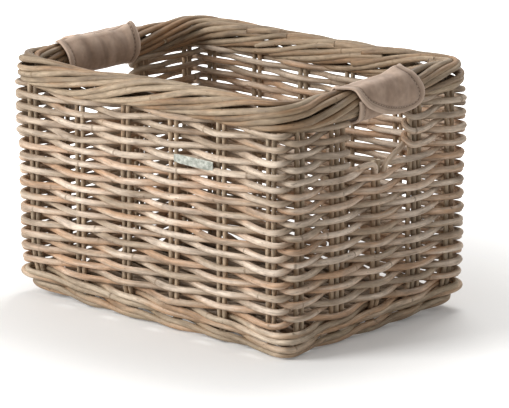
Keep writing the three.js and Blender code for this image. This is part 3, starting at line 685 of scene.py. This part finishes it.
rim_rattan = rattan("peeled_rattan_rim", "b19d84", "957250", "86735c", "564331")
rim_nodes = [f"rim_rod_{i + 1}" for i in range(8)]
rim_count = 12
rim_radius = 3.8
rim_turns = 3
rim_corner = 30.0
splice_overlap = 26.0
tuck_share, tuck_length = 0.42, 44
rim_wander, rim_hang = 0.8, 4.5
rim_points = np.concatenate([node_points(name) for name in rim_nodes])
rim_high, rim_low = rim_points[:, 2].max(), rim_points[:, 2].min() - rim_hang
rim_middle = (rim_low + rim_high) / 2
rim_tall = (rim_high - rim_low) / 2 - rim_radius
rim_wide = rim_points[:, 0].max() - wall_half[0] - rim_radius
rim_straight = 2 * (wall_half - rim_corner)
rim_arc = np.pi / 2 * rim_corner
rim_lengths = np.array([rim_straight[0], rim_arc, rim_straight[1], rim_arc] * 2)
rim_starts = np.concatenate([[0], np.cumsum(rim_lengths)])
perimeter = rim_starts[-1]


def rim_line(s):
    """The middle line of the rim at length s: straight sides joined by quarter circles. Gives the
    place and the direction outwards."""
    s = np.mod(s, perimeter)
    k = np.clip(np.searchsorted(rim_starts, s, "right") - 1, 0, 7)
    along = s - rim_starts[k]
    quarter = k // 2
    angle = (quarter - 1) * np.pi / 2 + np.where(k % 2 == 1, along / rim_corner, 0)
    out = np.stack([np.cos(angle), np.sin(angle)], axis=1)
    corner = np.array([(1, -1), (1, 1), (-1, 1), (-1, -1)])[quarter] * (wall_half - rim_corner)
    forward = np.stack([-out[:, 1], out[:, 0]], axis=1)
    back = np.where(k % 2 == 0, rim_lengths[k] - along, 0)
    return corner + out * rim_corner - forward * back[:, None], out


def rim_path(n, s, tucked, random):
    """Where rod n runs in the rim: centre + wide cos(phase) outwards + tall sin(phase) upwards,
    its phase growing with s. Where it is tucked, it lies nearer the hollow middle."""
    xy, out = rim_line(s)
    phase = 2 * np.pi * (rim_turns * s / perimeter + n / rim_count)
    phase = phase + 0.13 * ripple(s, (230.0, 410.0), random)
    wide = (rim_wide + rim_wander * ripple(s, (130.0, 240.0), random)) * tucked
    tall = (rim_tall + rim_wander * ripple(s, (110.0, 210.0), random)) * tucked
    flat = xy + out * (wide * np.cos(phase))[:, None]
    return np.concatenate([flat, (rim_middle + tall * np.sin(phase))[:, None]], axis=1)


rim_rods = {name: [] for name in rim_nodes}
for n in range(rim_count):
    random = np.random.default_rng(600 + n)
    inside = 0.5 + random.uniform(-0.16, 0.16, rim_turns) + np.arange(rim_turns) - n / rim_count
    inside = np.append(inside, inside[0] + rim_turns) * perimeter / rim_turns
    for begin, end in zip(inside[:-1], inside[1:]):
        s = np.linspace(begin - splice_overlap, end, 300)
        tucked = 1 - tuck_share * ramp(s - s[0], tuck_length, -tuck_length) ** 1.5
        path = resample(rim_path(n, s, tucked, random), rod_step)
        size = rim_radius * random.uniform(0.88, 1.06)
        rim_rods[rim_nodes[n % len(rim_nodes)]].append(rod(path, size, UP, random, 0.4))
for name, rods in rim_rods.items():
    rod_piece(f"{name}_rods", rods, rim_rattan, name, "rim_rattan")


# Leather wraps
# Each handhold is covered in soft split leather with its edges turned back and sewn. The sleeve
# lies round the inside and the underside of the rim; the flap comes over the top and closes
# outside on a strip of hook and loop tape.

wrap_half_width, wrap_half_height = 16.63, 21.82
wrap_height = 271.48
leather = 2.2
tape = 0.7
flap_lift = 3.9
flap_hinge = 95.0
sleeve_start, sleeve_stop = 96.0, 378.0
stitch_line, turned_edge = 8.6, 5.6
stitch_sunk = 0.8
hem_height, stitch_pull, turned_step = 0.85, 1.0, 0.5
flare_height, drawn_height = 1.3, 3.6
outline_step = 0.8
# How far apart in its patterns the two wraps lie, and the two faces of one.
side_pattern, back_pattern = 40, 20


def oval_point(side, middle, angle, along, offset):
    """A point of a wrap: middle + (half width + offset) cos(angle) outwards, + (half height +
    offset) sin(angle) upwards, along the handhold; side -1 is the same turned half round."""
    turn = np.radians(angle)
    x = wall_half[0] + (wrap_half_width + offset) * np.cos(turn)
    z = wrap_height + (wrap_half_height + offset) * np.sin(turn)
    return settle(np.stack([side * x, middle + side * along, z + 0 * x], axis=-1))


def two_faced(outer, inner):
    """A closed sheet from two grids of points that share their edge. Returns its points, its
    faces, and which points of the grid the inner face has of its own."""
    rows, columns = outer.shape[:2]
    first = np.arange(rows * columns).reshape(rows, columns)
    within = np.zeros((rows, columns), bool)
    within[1:-1, 1:-1] = True
    second = first.copy()
    second[within] = rows * columns + np.arange(within.sum())
    above = np.stack([first[:-1, :-1], first[:-1, 1:], first[1:, 1:], first[1:, :-1]], axis=2)
    below = np.stack([second[:-1, :-1], second[1:, :-1], second[1:, 1:], second[:-1, 1:]], axis=2)
    faces = np.concatenate([above.reshape(-1, 4), below.reshape(-1, 4)])
    return np.concatenate([outer.reshape(-1, 3), inner[within]]), faces, within


def half_thickness(edge, half):
    """Half a sheet's thickness, which falls to nothing at the edge in a quarter circle."""
    return half * np.sqrt(1 - (1 - np.clip(edge / half, 0, 1)) ** 2)


def hide(name, side, middle, angle, along, offset, edge, raised, thick, material, slot_name,
         marks):
    """A sheet lying at offset over the oval, on a grid of angle and along. Both faces stand half
    the thickness off, and the outer one is raised by hems and creases."""
    half = half_thickness(edge, thick / 2)
    outer = oval_point(side, middle, angle, along, offset + half + raised * (edge > 0))
    inner = oval_point(side, middle, angle, along, offset - half)
    points, faces, within = two_faced(outer, inner)
    a, b, c, d = np.moveaxis(points[faces], 1, 0)
    # A negative volume means that the faces look inwards.
    if (a * (np.cross(b, c) + np.cross(c, d))).sum() < 0:
        faces = faces[:, ::-1]
    arc = np.radians(angle) * (wrap_half_width + wrap_half_height) / 2
    place = np.stack([along, arc, 0 * arc + side_pattern * side], axis=2)
    both = np.concatenate([place.reshape(-1, 3), place[within] + [0, 0, back_pattern]])
    marks = {mark: np.concatenate([value.ravel(), 0 * value[within]])
             for mark, value in marks.items()}
    return add_piece(name, points, faces.tolist(), material, slot_name, leather_place=both,
                     **marks)


def hem(edge):
    """How far the outer face stands up near a sewn edge: a flat ridge where the leather is turned
    back, a groove that the stitches pull in, and a faint one where the turned edge ends."""
    ridge = hem_height * np.exp(-((edge - 3.8) / 4.1) ** 6)
    pulled = stitch_pull * bell(edge, stitch_line, 1.15)
    return ridge - pulled - turned_step * bell(edge, turned_edge, 0.7)


def wear(edge, hemmed, edge_width, hem_width, folds, on_folds, fold_shade):
    """Where leather is rubbed pale: its edge, its hem and the backs of folds. Where it is darkened
    as painted shade: the grooves of its hem and the bottoms of folds."""
    rubbed = bell(edge, 0, edge_width) + 0.34 * (edge < hem_width)
    # Painted shade in the hem's grooves and in the bottoms of folds.
    grooves = 0.95 * bell(hemmed, stitch_line, 1.3) + 0.55 * bell(hemmed, turned_edge, 0.7)
    return {"rubbed": np.clip(rubbed + on_folds * folds, 0, 1),
            "seam": grooves + fold_shade * np.clip(-folds, 0, 1)}


def crease(angle, along, folds):
    """Soft folds across the leather. Each is a bell curve round a line that slants with the
    angle, fading above and below: (place, slant, depth, width, middle angle, reach in degrees)."""
    height = np.zeros_like(along)
    for place, slant, depth, width, centre, reach in folds:
        off_line = along - place - slant * (angle - centre)
        height += depth * bell(off_line, 0, width) * bell(angle, centre, reach)
    return height


def swelling(angle, along, swells, shift=0.0):
    """How far the leather stands off the rods near its fold: the sum of bell curves along the
    handhold and round the fold, each (place, height, width)."""
    heights = [height * bell(along - shift, place, width) for place, height, width in swells]
    return sum(heights) * bell(angle, flap_hinge, 30)


def sleeve_lift(name, angle, along, from_end, shift, small=0.0):
    """How far the sleeve stands off the oval: folds, ends that flare out and small waves, all
    pressed flat at its two long edges, + the swelling of the flap's fold. On its underside it is
    drawn up against the rods, by the cube of the downward share of its direction."""
    wave = crease(angle, along, sleeve_folds[name])
    wave = wave + flare_height * bell(from_end, 3, 6) * ramp(angle, 215, -30) + small
    wave = wave + sleeve_slack[name] * bell(angle, 108, 14)
    wave = wave * ramp(angle, 330, -30) * ramp(angle, sleeve_start, 7)
    wave = wave + swelling(angle, along, flap_swells[name], shift)
    drawn_up = drawn_height * np.clip(-np.sin(np.radians(angle)), 0, 1) ** 3
    return np.maximum(wave, -0.2), drawn_up


def flap_rise(angle):
    """How far the flap lies over the sleeve: nothing at its fold, then rising in a smooth step."""
    eased = ramp(angle, flap_hinge - 15, -36)
    return flap_lift * eased ** 2 * (3 - 2 * eased)


def split_leather():
    """Soft leather with a brushed nap, dull and slightly furry: cloudy taupe that goes paler where
    hands rub the edges and ridges, darker in the seams and the bottoms of folds as painted shade,
    with a fine nap too small for a gloss."""
    material, tree = bare_material("split_leather")
    place = shade(tree, "Attribute", attribute_name="leather_place").outputs["Vector"]
    noises = patterns(tree, place, 0.6, (
        ("cloud", 26, 26, 3.0, 0), ("mottle", 7, 7, 4.0, 0), ("nap", 0.9, 0.9, 2.0, 0)))
    masks = ranges(tree, noises, (
        ("cloud", "cloud", 0.36, 0.66, 0.0, 1.0), ("mottle", "mottle", 0.3, 0.7, 0.88, 1.10)))
    base = shade(tree, "Mix", {0: masks["cloud"]}, _6="9d8471", _7="bea490")
    mottled = shade(tree, "Mix", {6: base, 7: masks["mottle"]}, blend_type="MULTIPLY", _0=1.0)
    rubbed = shade(tree, "Attribute", attribute_name="rubbed").outputs["Fac"]
    pale = shade(tree, "Mix", {0: rubbed, 6: mottled}, _7="cfb7a3")
    # Painted shade: the seam mark darkens the hem's grooves and the bottoms of folds.
    seam = shade(tree, "Attribute", attribute_name="seam").outputs["Fac"]
    colour = shade(tree, "Mix", {0: seam, 6: pale}, _7="6f5b4c")
    grain = shade(tree, "Math", {0: noises["nap"], 1: noises["mottle"]}, operation="ADD")
    bump = shade(tree, "Bump", {"Height": grain}, Strength=0.35, Distance=0.0004)
    surface = shade(tree, "BsdfPrincipled", {"Base Color": colour, "Normal": bump},
                    Roughness=0.85, IOR=1.45, Sheen_Weight=0.2, Sheen_Roughness=0.5)
    shade(tree, "OutputMaterial", {"Surface": surface})
    return material


def tape_material():
    """Woven nylon tape with hooks on one strip and loops on the other: dull, dark and bristly,
    with rows about 1.2 mm apart."""
    material, tree = bare_material("nylon_hook_and_loop_tape")
    place = shade(tree, "Attribute", attribute_name="leather_place").outputs["Vector"]
    spot = shade(tree, "Mapping", {0: place}, Scale=(1 / 1.2,) * 3)
    dots = shade(tree, "TexVoronoi", {"Vector": spot}, Randomness=0.35, Scale=1.0)
    colour = shade(tree, "Mix", {0: dots.outputs["Distance"]}, _6="6a5d52", _7="3c332d")
    bump = shade(tree, "Bump", {"Height": dots.outputs["Distance"]}, Strength=0.7,
                 Distance=-0.0006)
    surface = shade(tree, "BsdfPrincipled", {"Base Color": colour, "Normal": bump},
                    Roughness=0.9, IOR=1.5)
    shade(tree, "OutputMaterial", {"Surface": surface})
    return material


def thread_material():
    """Waxed linen thread: pale brown, twisted, with a little sheen."""
    material, tree = bare_material("waxed_linen_thread")
    place = shade(tree, "TexCoord").outputs["Object"]
    twist = shade(tree, "TexNoise", {"Vector": place}, Scale=1800.0, Detail=1.0)
    colour = shade(tree, "Mix", {0: twist.outputs["Fac"]}, _6="a8917c", _7="cdb6a0")
    surface = shade(tree, "BsdfPrincipled", {"Base Color": colour}, Roughness=0.6, IOR=1.5)
    shade(tree, "OutputMaterial", {"Surface": surface})
    return material


def stitches(name, lines, material, slot_name, long=3.1, gap=1.7, thick=0.42, proud=0.10,
             sunk=0.15):
    """Small stitches on lines of points that lie on the leather. Each is a six-sided grain, long
    by thick, sunk a little at both ends. A line is (points, outward directions)."""
    ring = np.arange(6) * np.pi / 3
    stations = np.array([-0.42, 0.0, 0.42])
    width = np.array([0.75, 1.0, 0.75])
    vertices = []
    for points, outwards in lines:
        lengths = travelled(points)
        middle = np.arange(long / 2 + gap, lengths[-1] - long / 2, long + gap)
        at = at_lengths(middle, lengths, points)
        ahead = unit(at_lengths(middle + 0.5, lengths, points) - at)
        across = unit(np.cross(at_lengths(middle, lengths, outwards), ahead))
        out = np.cross(ahead, across)
        at = at + out * proud
        round_it = across[:, None] * np.cos(ring)[:, None] + out[:, None] * np.sin(ring)[:, None]
        body = at[:, None, None] + ahead[:, None, None] * (stations * long)[:, None, None]
        body = body + round_it[:, None] * (width * thick)[:, None, None]
        tips = at[:, None] + ahead[:, None] * np.array([-0.5, 0.5])[:, None] * long
        tips = tips - out[:, None] * sunk
        vertices.append(np.concatenate([body.reshape(len(at), -1, 3), tips], axis=1))
    vertices = np.concatenate(vertices)
    k = np.arange(6)
    n = (k + 1) % 6
    walls = np.concatenate([np.stack([k + r, n + r, n + r + 6, k + r + 6], axis=1)
                            for r in (0, 6)])
    tips = np.concatenate([np.stack([n, k, 0 * k + 18], axis=1),
                           np.stack([k + 12, n + 12, 0 * k + 19], axis=1)])
    shift = (np.arange(len(vertices)) * 20)[:, None, None]
    faces = (walls + shift).reshape(-1, 4).tolist() + (tips + shift).reshape(-1, 3).tolist()
    return add_piece(name, vertices.reshape(-1, 3), faces, material, slot_name)


def on_leather(side, middle, angle, along, offset):
    """A line on the leather's outer face and the directions that point away from it."""
    points = oval_point(side, middle, angle, along, offset)
    return points, oval_point(side, middle, angle, along, offset + 1) - points


def close_at_ends(length, count):
    """Shares of 0 to 1 for count lines, with three more lines just inside each end."""
    edge = np.array([0, 0.25, 0.7, 1.4]) / length
    inside = np.linspace(edge[-1], 1 - edge[-1], count)[1:-1]
    return np.concatenate([edge, inside, 1 - edge[::-1]])


def shares(line, t):
    """Points of a line at shares t of the number of its points."""
    return at_lengths(t, np.linspace(0, 1, len(line)), line)


def patch(left, right, top, bottom, t, r):
    """A grid over a patch with four edges: its left and right ones blended by r, + its top and
    bottom ones blended by t, - its four corners blended by both."""
    t, r = t[:, None, None], r[None, :, None]
    grid = (1 - t) * top[None] + t * bottom[None]
    grid = grid + (1 - r) * left[:, None] + r * right[:, None]
    return (grid - (1 - t) * ((1 - r) * left[0] + r * right[0])
            - t * ((1 - r) * left[-1] + r * right[-1]))


wrap_leather = split_leather()
wrap_tape = tape_material()
wrap_thread = thread_material()
# The sleeve's two ends along the handhold, at angles round the rim.
end_angles = np.array([sleeve_start, 130, 156, 205, 214, 326, 340, sleeve_stop])
sleeve_ends = {
    "right": ([-66, -62, -58, -54, -45.5, -45.5, -48, -48], [47, 53, 57, 57, 45.5, 45.5, 51, 51]),
    "left": ([-53, -53, -53, -51.5, -50.5, -50.5, -53, -53], [69, 66, 64, 61, 38, 38, 51, 51]),
}
sleeve_slack = {"right": 0.0, "left": 1.2}
sleeve_folds = {
    "right": [(-30, 0.1, 0.9, 5, 150, 60), (12, -0.08, -0.8, 6, 160, 50),
              (38, 0.1, 0.8, 4, 150, 50)],
    "left": [(-47, 0.06, 3.4, 9, 110, 45), (-24, -0.05, -1.9, 8, 100, 60),
             (-30, 0.05, -1.4, 3, 165, 40), (-6, 0.04, 1.4, 5, 150, 45),
             (4, -0.06, -1.6, 3.5, 165, 45), (18, 0.05, 2.0, 8, 120, 50),
             (30, -0.04, -1.5, 4, 170, 40), (44, 0.05, 1.2, 5, 150, 40)],
}
flap_folds = [(14, 0.05, -0.7, 4, 30, 40), (24, 0.05, 0.8, 6, 30, 45), (-22, -0.1, 0.7, 7, 60, 30),
              (-8, 0.1, -0.6, 5, 10, 25), (40, -0.05, 0.6, 6, 0, 30)]
flap_swells = {"right": [(36, 4.0, 17)], "left": [(-41, 3.4, 10), (42, 2.2, 11)]}
# The flap's edge: places along the handhold, and angles round the rim.
flap_outline = np.array([
    (-68, 95), (-64, 80), (-56, 64), (-51.5, 46), (-50, 29), (-46, 14), (-38.5, -2), (-31.5, -10),
    (-24, -18), (-9.5, -31), (10.5, -45), (28, -52), (42, -50), (51.5, -42), (56.5, -31),
    (58, -17), (57.8, -3), (55.8, 11), (52.8, 24), (49.3, 38), (46, 52), (43.5, 72),
    (42, 95)], float)
flap_low_corner, flap_high_corner = (-31.5, -10), (54, -37)
left_flap_start = -53
# The length of the flap's leather round the rim from its fold, in millimetres, at angles from the
# fold round to -70 degrees.
flap_angles = np.linspace(flap_hinge, -70, 400)
steps = np.hypot((wrap_half_width + 5) * np.sin(np.radians(flap_angles)),
                 (wrap_half_height + 5) * np.cos(np.radians(flap_angles)))
steps = (steps[1:] + steps[:-1]) / 2 * np.radians(np.diff(-flap_angles))
flap_arc = np.concatenate([[0], np.cumsum(steps)])
tape_wide, tape_long = 12, 54
tape_low_angle, tape_turn, tape_start = -24, 34, -20


def to_arc(angle):
    """The length of the flap's leather from its hinge to an angle round the rim."""
    return np.interp(-angle, -flap_angles, flap_arc)


for name, side, sleeve_middle, flap_middle in (("right", 1, 0.0, 0.0), ("left", -1, -24.0, -20.0)):
    low, high = (np.array(ends, float) for ends in sleeve_ends[name])
    fold_shift = side * (flap_middle - sleeve_middle)
    u, v = close_at_ends(120, 70), close_at_ends(125, 90)
    angle = (sleeve_start + u * (sleeve_stop - sleeve_start))[:, None] + 0 * v
    ends = [relax(np.interp(angle[:, :1], end_angles, end), 2) for end in (low, high)]
    along = ends[0] + (ends[1] - ends[0]) * v
    from_end = np.minimum(along - ends[0], ends[1] - along)
    arc_length = np.radians(sleeve_stop - sleeve_start) * 20
    edge = np.minimum(from_end, np.minimum(u, 1 - u)[:, None] * arc_length)
    small = 0.35 * np.sin(along / 9.0 + angle / 31.0) * ramp(from_end, 0, 10)
    wave, drawn_up = sleeve_lift(name, angle, along, from_end, fold_shift, small)
    folds = crease(angle, along, sleeve_folds[name])
    marks = wear(edge, from_end, 1.4, 7.8, folds, 0.16, 0.35)
    sleeve = hide(f"grip_{name}_sleeve_leather", side, sleeve_middle, angle, along,
                  leather / 2 + wave - drawn_up, edge, hem(from_end), leather, wrap_leather,
                  "grip_leather", marks)
    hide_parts(f"grip_{name}_sleeve")
    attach(sleeve, "basket")
    line_angle = np.linspace(100, 372, 200)
    lines = []
    for end, way in ((low, 1), (high, -1)):
        line_along = np.interp(line_angle, end_angles, end) + way * stitch_line
        wave, drawn_up = sleeve_lift(name, line_angle, line_along, stitch_line, fold_shift)
        lines.append(on_leather(side, sleeve_middle, line_angle, line_along,
                                leather + wave - stitch_sunk - drawn_up))
    thread = stitches(f"grip_{name}_sleeve_stitches", lines, wrap_thread, "grip_leather")
    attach(thread, "basket")
    on_sleeve = [thread]

    outline = flap_outline.copy()
    if side < 0:
        outline[:, 0] = np.maximum(outline[:, 0], left_flap_start)
    outline[:, 1] = to_arc(outline[:, 1])
    smooth = resample(relax(resample(outline, outline_step), 4), outline_step)
    corners = [np.abs(smooth - [along, to_arc(angle)]).sum(axis=1).argmin()
               for along, angle in (flap_low_corner, flap_high_corner)]
    t, r = close_at_ends(65, 56), close_at_ends(105, 80)
    flat = patch(shares(smooth[:corners[0] + 1], t), shares(smooth[:corners[1] - 1:-1], t),
                 shares(smooth[[0, -1]], r), shares(smooth[corners[0]:corners[1] + 1], r), t, r)
    along = flat[..., 0]
    angle = np.interp(flat[..., 1], flap_arc, flap_angles)
    apart = np.linalg.norm(flat[:, :, None] - smooth[None, None], axis=3).min(axis=2)
    apart[[0, -1], :] = 0
    apart[:, [0, -1]] = 0
    folds = crease(angle, along, flap_folds) * ramp(apart, 7.5, 8)
    cushion = 0.8 * ramp(apart, 8.5, 16) * ramp(angle, 80, -30)
    cushion = cushion + swelling(angle, along, flap_swells[name])
    flap = hide(f"grip_{name}_flap_leather", side, flap_middle, angle, along,
                leather / 2 + flap_rise(angle) + np.maximum(folds, 0) * 0.5,
                np.minimum(apart, flat[..., 1]), hem(apart) + folds * 0.5 + cushion, leather,
                wrap_leather, "grip_leather", wear(apart, apart, 1.5, 7.6, folds, 0.18, 0.25))
    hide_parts(f"grip_{name}_flap")
    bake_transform(flap)
    ahead = np.gradient(smooth, axis=0)
    inwards = unit(np.stack([ahead[:, 1], -ahead[:, 0]], axis=1))
    halfway = len(smooth) // 2
    if inwards[halfway] @ (smooth.mean(axis=0) - smooth[halfway]) < 0:
        inwards = -inwards
    seam = smooth + inwards * stitch_line
    seam = seam[seam[:, 1] > 4]
    seam_angle = np.interp(seam[:, 1], flap_arc, flap_angles)
    line = on_leather(side, flap_middle, seam_angle, seam[:, 0],
                      leather - stitch_sunk + flap_rise(seam_angle))
    thread = stitches(f"grip_{name}_flap_stitches", [line], wrap_thread, "grip_leather")
    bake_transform(thread)
    on_flap = [thread]

    for kind, body, above, group in (("loop", "basket", 0.1, on_sleeve),
                                     ("hook", f"flap_{name}", 0.9, on_flap)):
        u, v = close_at_ends(tape_wide, 12), close_at_ends(68, 40)
        angle = (tape_low_angle + tape_turn * u)[:, None] + 0 * v
        along = (tape_start + tape_long * v)[None] + 0 * angle
        edge = np.minimum(np.minimum(u, 1 - u)[:, None] * tape_wide,
                          np.minimum(v, 1 - v)[None] * tape_long)
        strip = hide(f"grip_{name}_{kind}_tape", side, flap_middle, angle, along,
                     leather + above + tape / 2, edge, 0 * along, tape, wrap_tape,
                     "closure_tape", {})
        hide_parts(f"grip_{name}_{kind}_patch")
        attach(strip, body)
        group.append(strip)
    ahead = np.roll(smooth, -1, axis=0)


# Name plate
# A thin pressed strip of tinned sheet, gone dull, sits on the front of one rod: a narrow tab at
# one end is tucked behind the stakes and the other end is folded back. Its face is bare.

plate_start, plate_end = 49.0, 108.5
plate_long = plate_end - plate_start
plate_thick = 0.6
plate_row = row_height(6)
plate_sunk, plate_slope = 0.8, 1.5 / 56


def tinned_plate():
    """Dull tinned steel: grey-white and blotchy, with a fine crystal grain and a soft gloss."""
    material, tree = bare_material("dull_tinned_steel")
    place = shade(tree, "TexCoord").outputs["Object"]
    grain = shade(tree, "TexVoronoi", {"Vector": place}, Scale=520.0).outputs["Distance"]
    cloud = shade(tree, "TexNoise", {"Vector": place}, Scale=160.0, Detail=4.0).outputs["Fac"]
    clouded = shade(tree, "MapRange", {"Value": cloud}, _1=0.35, _2=0.65)
    base = shade(tree, "Mix", {0: clouded}, _6="868a80", _7="c3c4ba")
    fine = shade(tree, "MapRange", {"Value": grain}, _1=0.0, _2=0.7, _3=1.08, _4=0.78)
    colour = shade(tree, "Mix", {6: base, 7: fine}, blend_type="MULTIPLY", _0=1.0)
    bump = shade(tree, "Bump", {"Height": grain}, Strength=0.3, Distance=0.0003)
    surface = shade(tree, "BsdfPrincipled", {"Base Color": colour, "Normal": bump},
                    Metallic=0.35, Roughness=0.5)
    shade(tree, "OutputMaterial", {"Surface": surface})
    return material


x = np.concatenate([[0, 0.12, 0.35], np.linspace(1.0, plate_long - 1.0, 60),
                    plate_long - np.array([0.35, 0.12, 0])])[None]
w = np.concatenate([[-1, -0.985, -0.95], np.linspace(-0.9, 0.9, 15), [0.95, 0.985, 1]])[:, None]
half_tall = np.interp(x, [0, 4, 9, 60], [4.3, 4.8, 5.2, 5.5])
out = np.interp(x, [0, 12, 34, 60], [11.0, 11.4, 10.6, 9.3]) + 0.35 * (1 - w ** 2)
out = out + 0.5 * bell(x, 58, 1.6)
edge = np.minimum(np.minimum(x, x.max() - x), half_tall * (1 - np.abs(w)))
half = half_thickness(edge, plate_thick / 2)
tall = plate_row - plate_sunk + half_tall * w - plate_slope * x
across = plate_start + x + 0 * w
front, behind = (np.stack([across, -wall_half[1] - out - half * way, tall], axis=2)
                 for way in (1, -1))
points, faces, within = two_faced(front, behind)
plate = add_piece("tag_plate_tin", points, faces.tolist(), tinned_plate(), "plate_metal")
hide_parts("tag_plate")
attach(plate, "basket")


# Studio
# A plain pale floor under soft light from the left and above; the camera stands where the
# photographer did.


def looked_at(tree):
    """1 where a surface is seen itself, straight or in a gloss or through glass, and 0 where it
    only gives light to others."""
    seen = shade(tree, "LightPath").outputs
    direct = shade(tree, "Math", {0: seen["Is Camera Ray"], 1: seen["Is Glossy Ray"]},
                   operation="MAXIMUM")
    return shade(tree, "Math", {0: direct, 1: seen["Is Transmission Ray"]}, operation="MAXIMUM")


reach = 12000.0
corners = reach * np.array([(-1, -1, 0), (1, -1, 0), (1, 1, 0), (-1, 1, 0)])
paper, tree = bare_material("white_paper")
matt = shade(tree, "BsdfDiffuse", Color=linear("e8e7e5"))
spot = shade(tree, "TexCoord")
away = shade(tree, "VectorMath", {0: spot.outputs["Object"]}, operation="LENGTH")
far = shade(tree, "MapRange", {"Value": away.outputs["Value"]}, interpolation_type="SMOOTHSTEP",
            _1=0.2, _2=0.9, _3=0.10, _4=1.0)
glow = shade(tree, "Emission", {"Strength": far}, Color=(1, 1, 1, 1))
both = shade(tree, "AddShader", {0: matt, 1: glow})
choose = shade(tree, "MixShader", {0: looked_at(tree), 1: matt, 2: both})
shade(tree, "OutputMaterial", {"Surface": choose})
floor = add_piece("floor", corners, [(0, 1, 2, 3)], paper, smooth=False)
floor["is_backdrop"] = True

world = bpy.data.worlds.new("studio")
bpy.context.scene.world = world
world.use_nodes = True
tree = world.node_tree
tree.nodes.clear()
around = shade(tree, "Background", Color=(1, 1, 1, 1), Strength=0.44)
backdrop = shade(tree, "Background", Color=(1, 1, 1, 1), Strength=1.0)
choose = shade(tree, "MixShader", {0: looked_at(tree), 1: around, 2: backdrop})
shade(tree, "OutputWorld", {"Surface": choose})


def soft_light(name, place, aim, size, power):
    """A square lamp at a place, turned to its aim."""
    lamp = bpy.data.lights.new(name, "AREA")
    lamp.size = size
    lamp.energy = power
    stand = bpy.data.objects.new(name, lamp)
    stand.location = place
    stand.rotation_euler = (Vector(aim) - Vector(place)).to_track_quat("-Z", "Y").to_euler()
    bpy.context.scene.collection.objects.link(stand)


soft_light("key", (-1.15, -2.35, 1.45), (0, 0, 0.14), 1.3, 76)
soft_light("behind", (-0.5, 1.3, 2.3), (0, 0, 0.1), 1.2, 34)

azimuth, elevation = math.radians(43.0), math.radians(14.0)
distance = 4515.0
photo_wide, photo_focal, sensor = 509, 3866.0, 36.0
aim_height, aim_right, aim_down = 145.0, 16.7, 28.0
back = np.array([math.sin(azimuth) * math.cos(elevation),
                 -math.cos(azimuth) * math.cos(elevation), math.sin(elevation)])
right = np.array([math.cos(azimuth), math.sin(azimuth), 0])
up = np.cross(back, right)
aim = np.array([0, 0, aim_height]) + right * aim_right - up * aim_down
camera = bpy.data.cameras.new("camera")
camera.sensor_width = sensor
camera.lens = photo_focal / photo_wide * sensor
camera.clip_end = 40.0
tripod = bpy.data.objects.new("camera", camera)
tripod.location = Vector((aim + back * distance) * MM)
tripod.rotation_euler = Vector(-back).to_track_quat("-Z", "Y").to_euler()
bpy.context.scene.collection.objects.link(tripod)
bpy.context.scene.camera = tripod
bpy.context.scene.view_settings.view_transform = "Standard"

low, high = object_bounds()
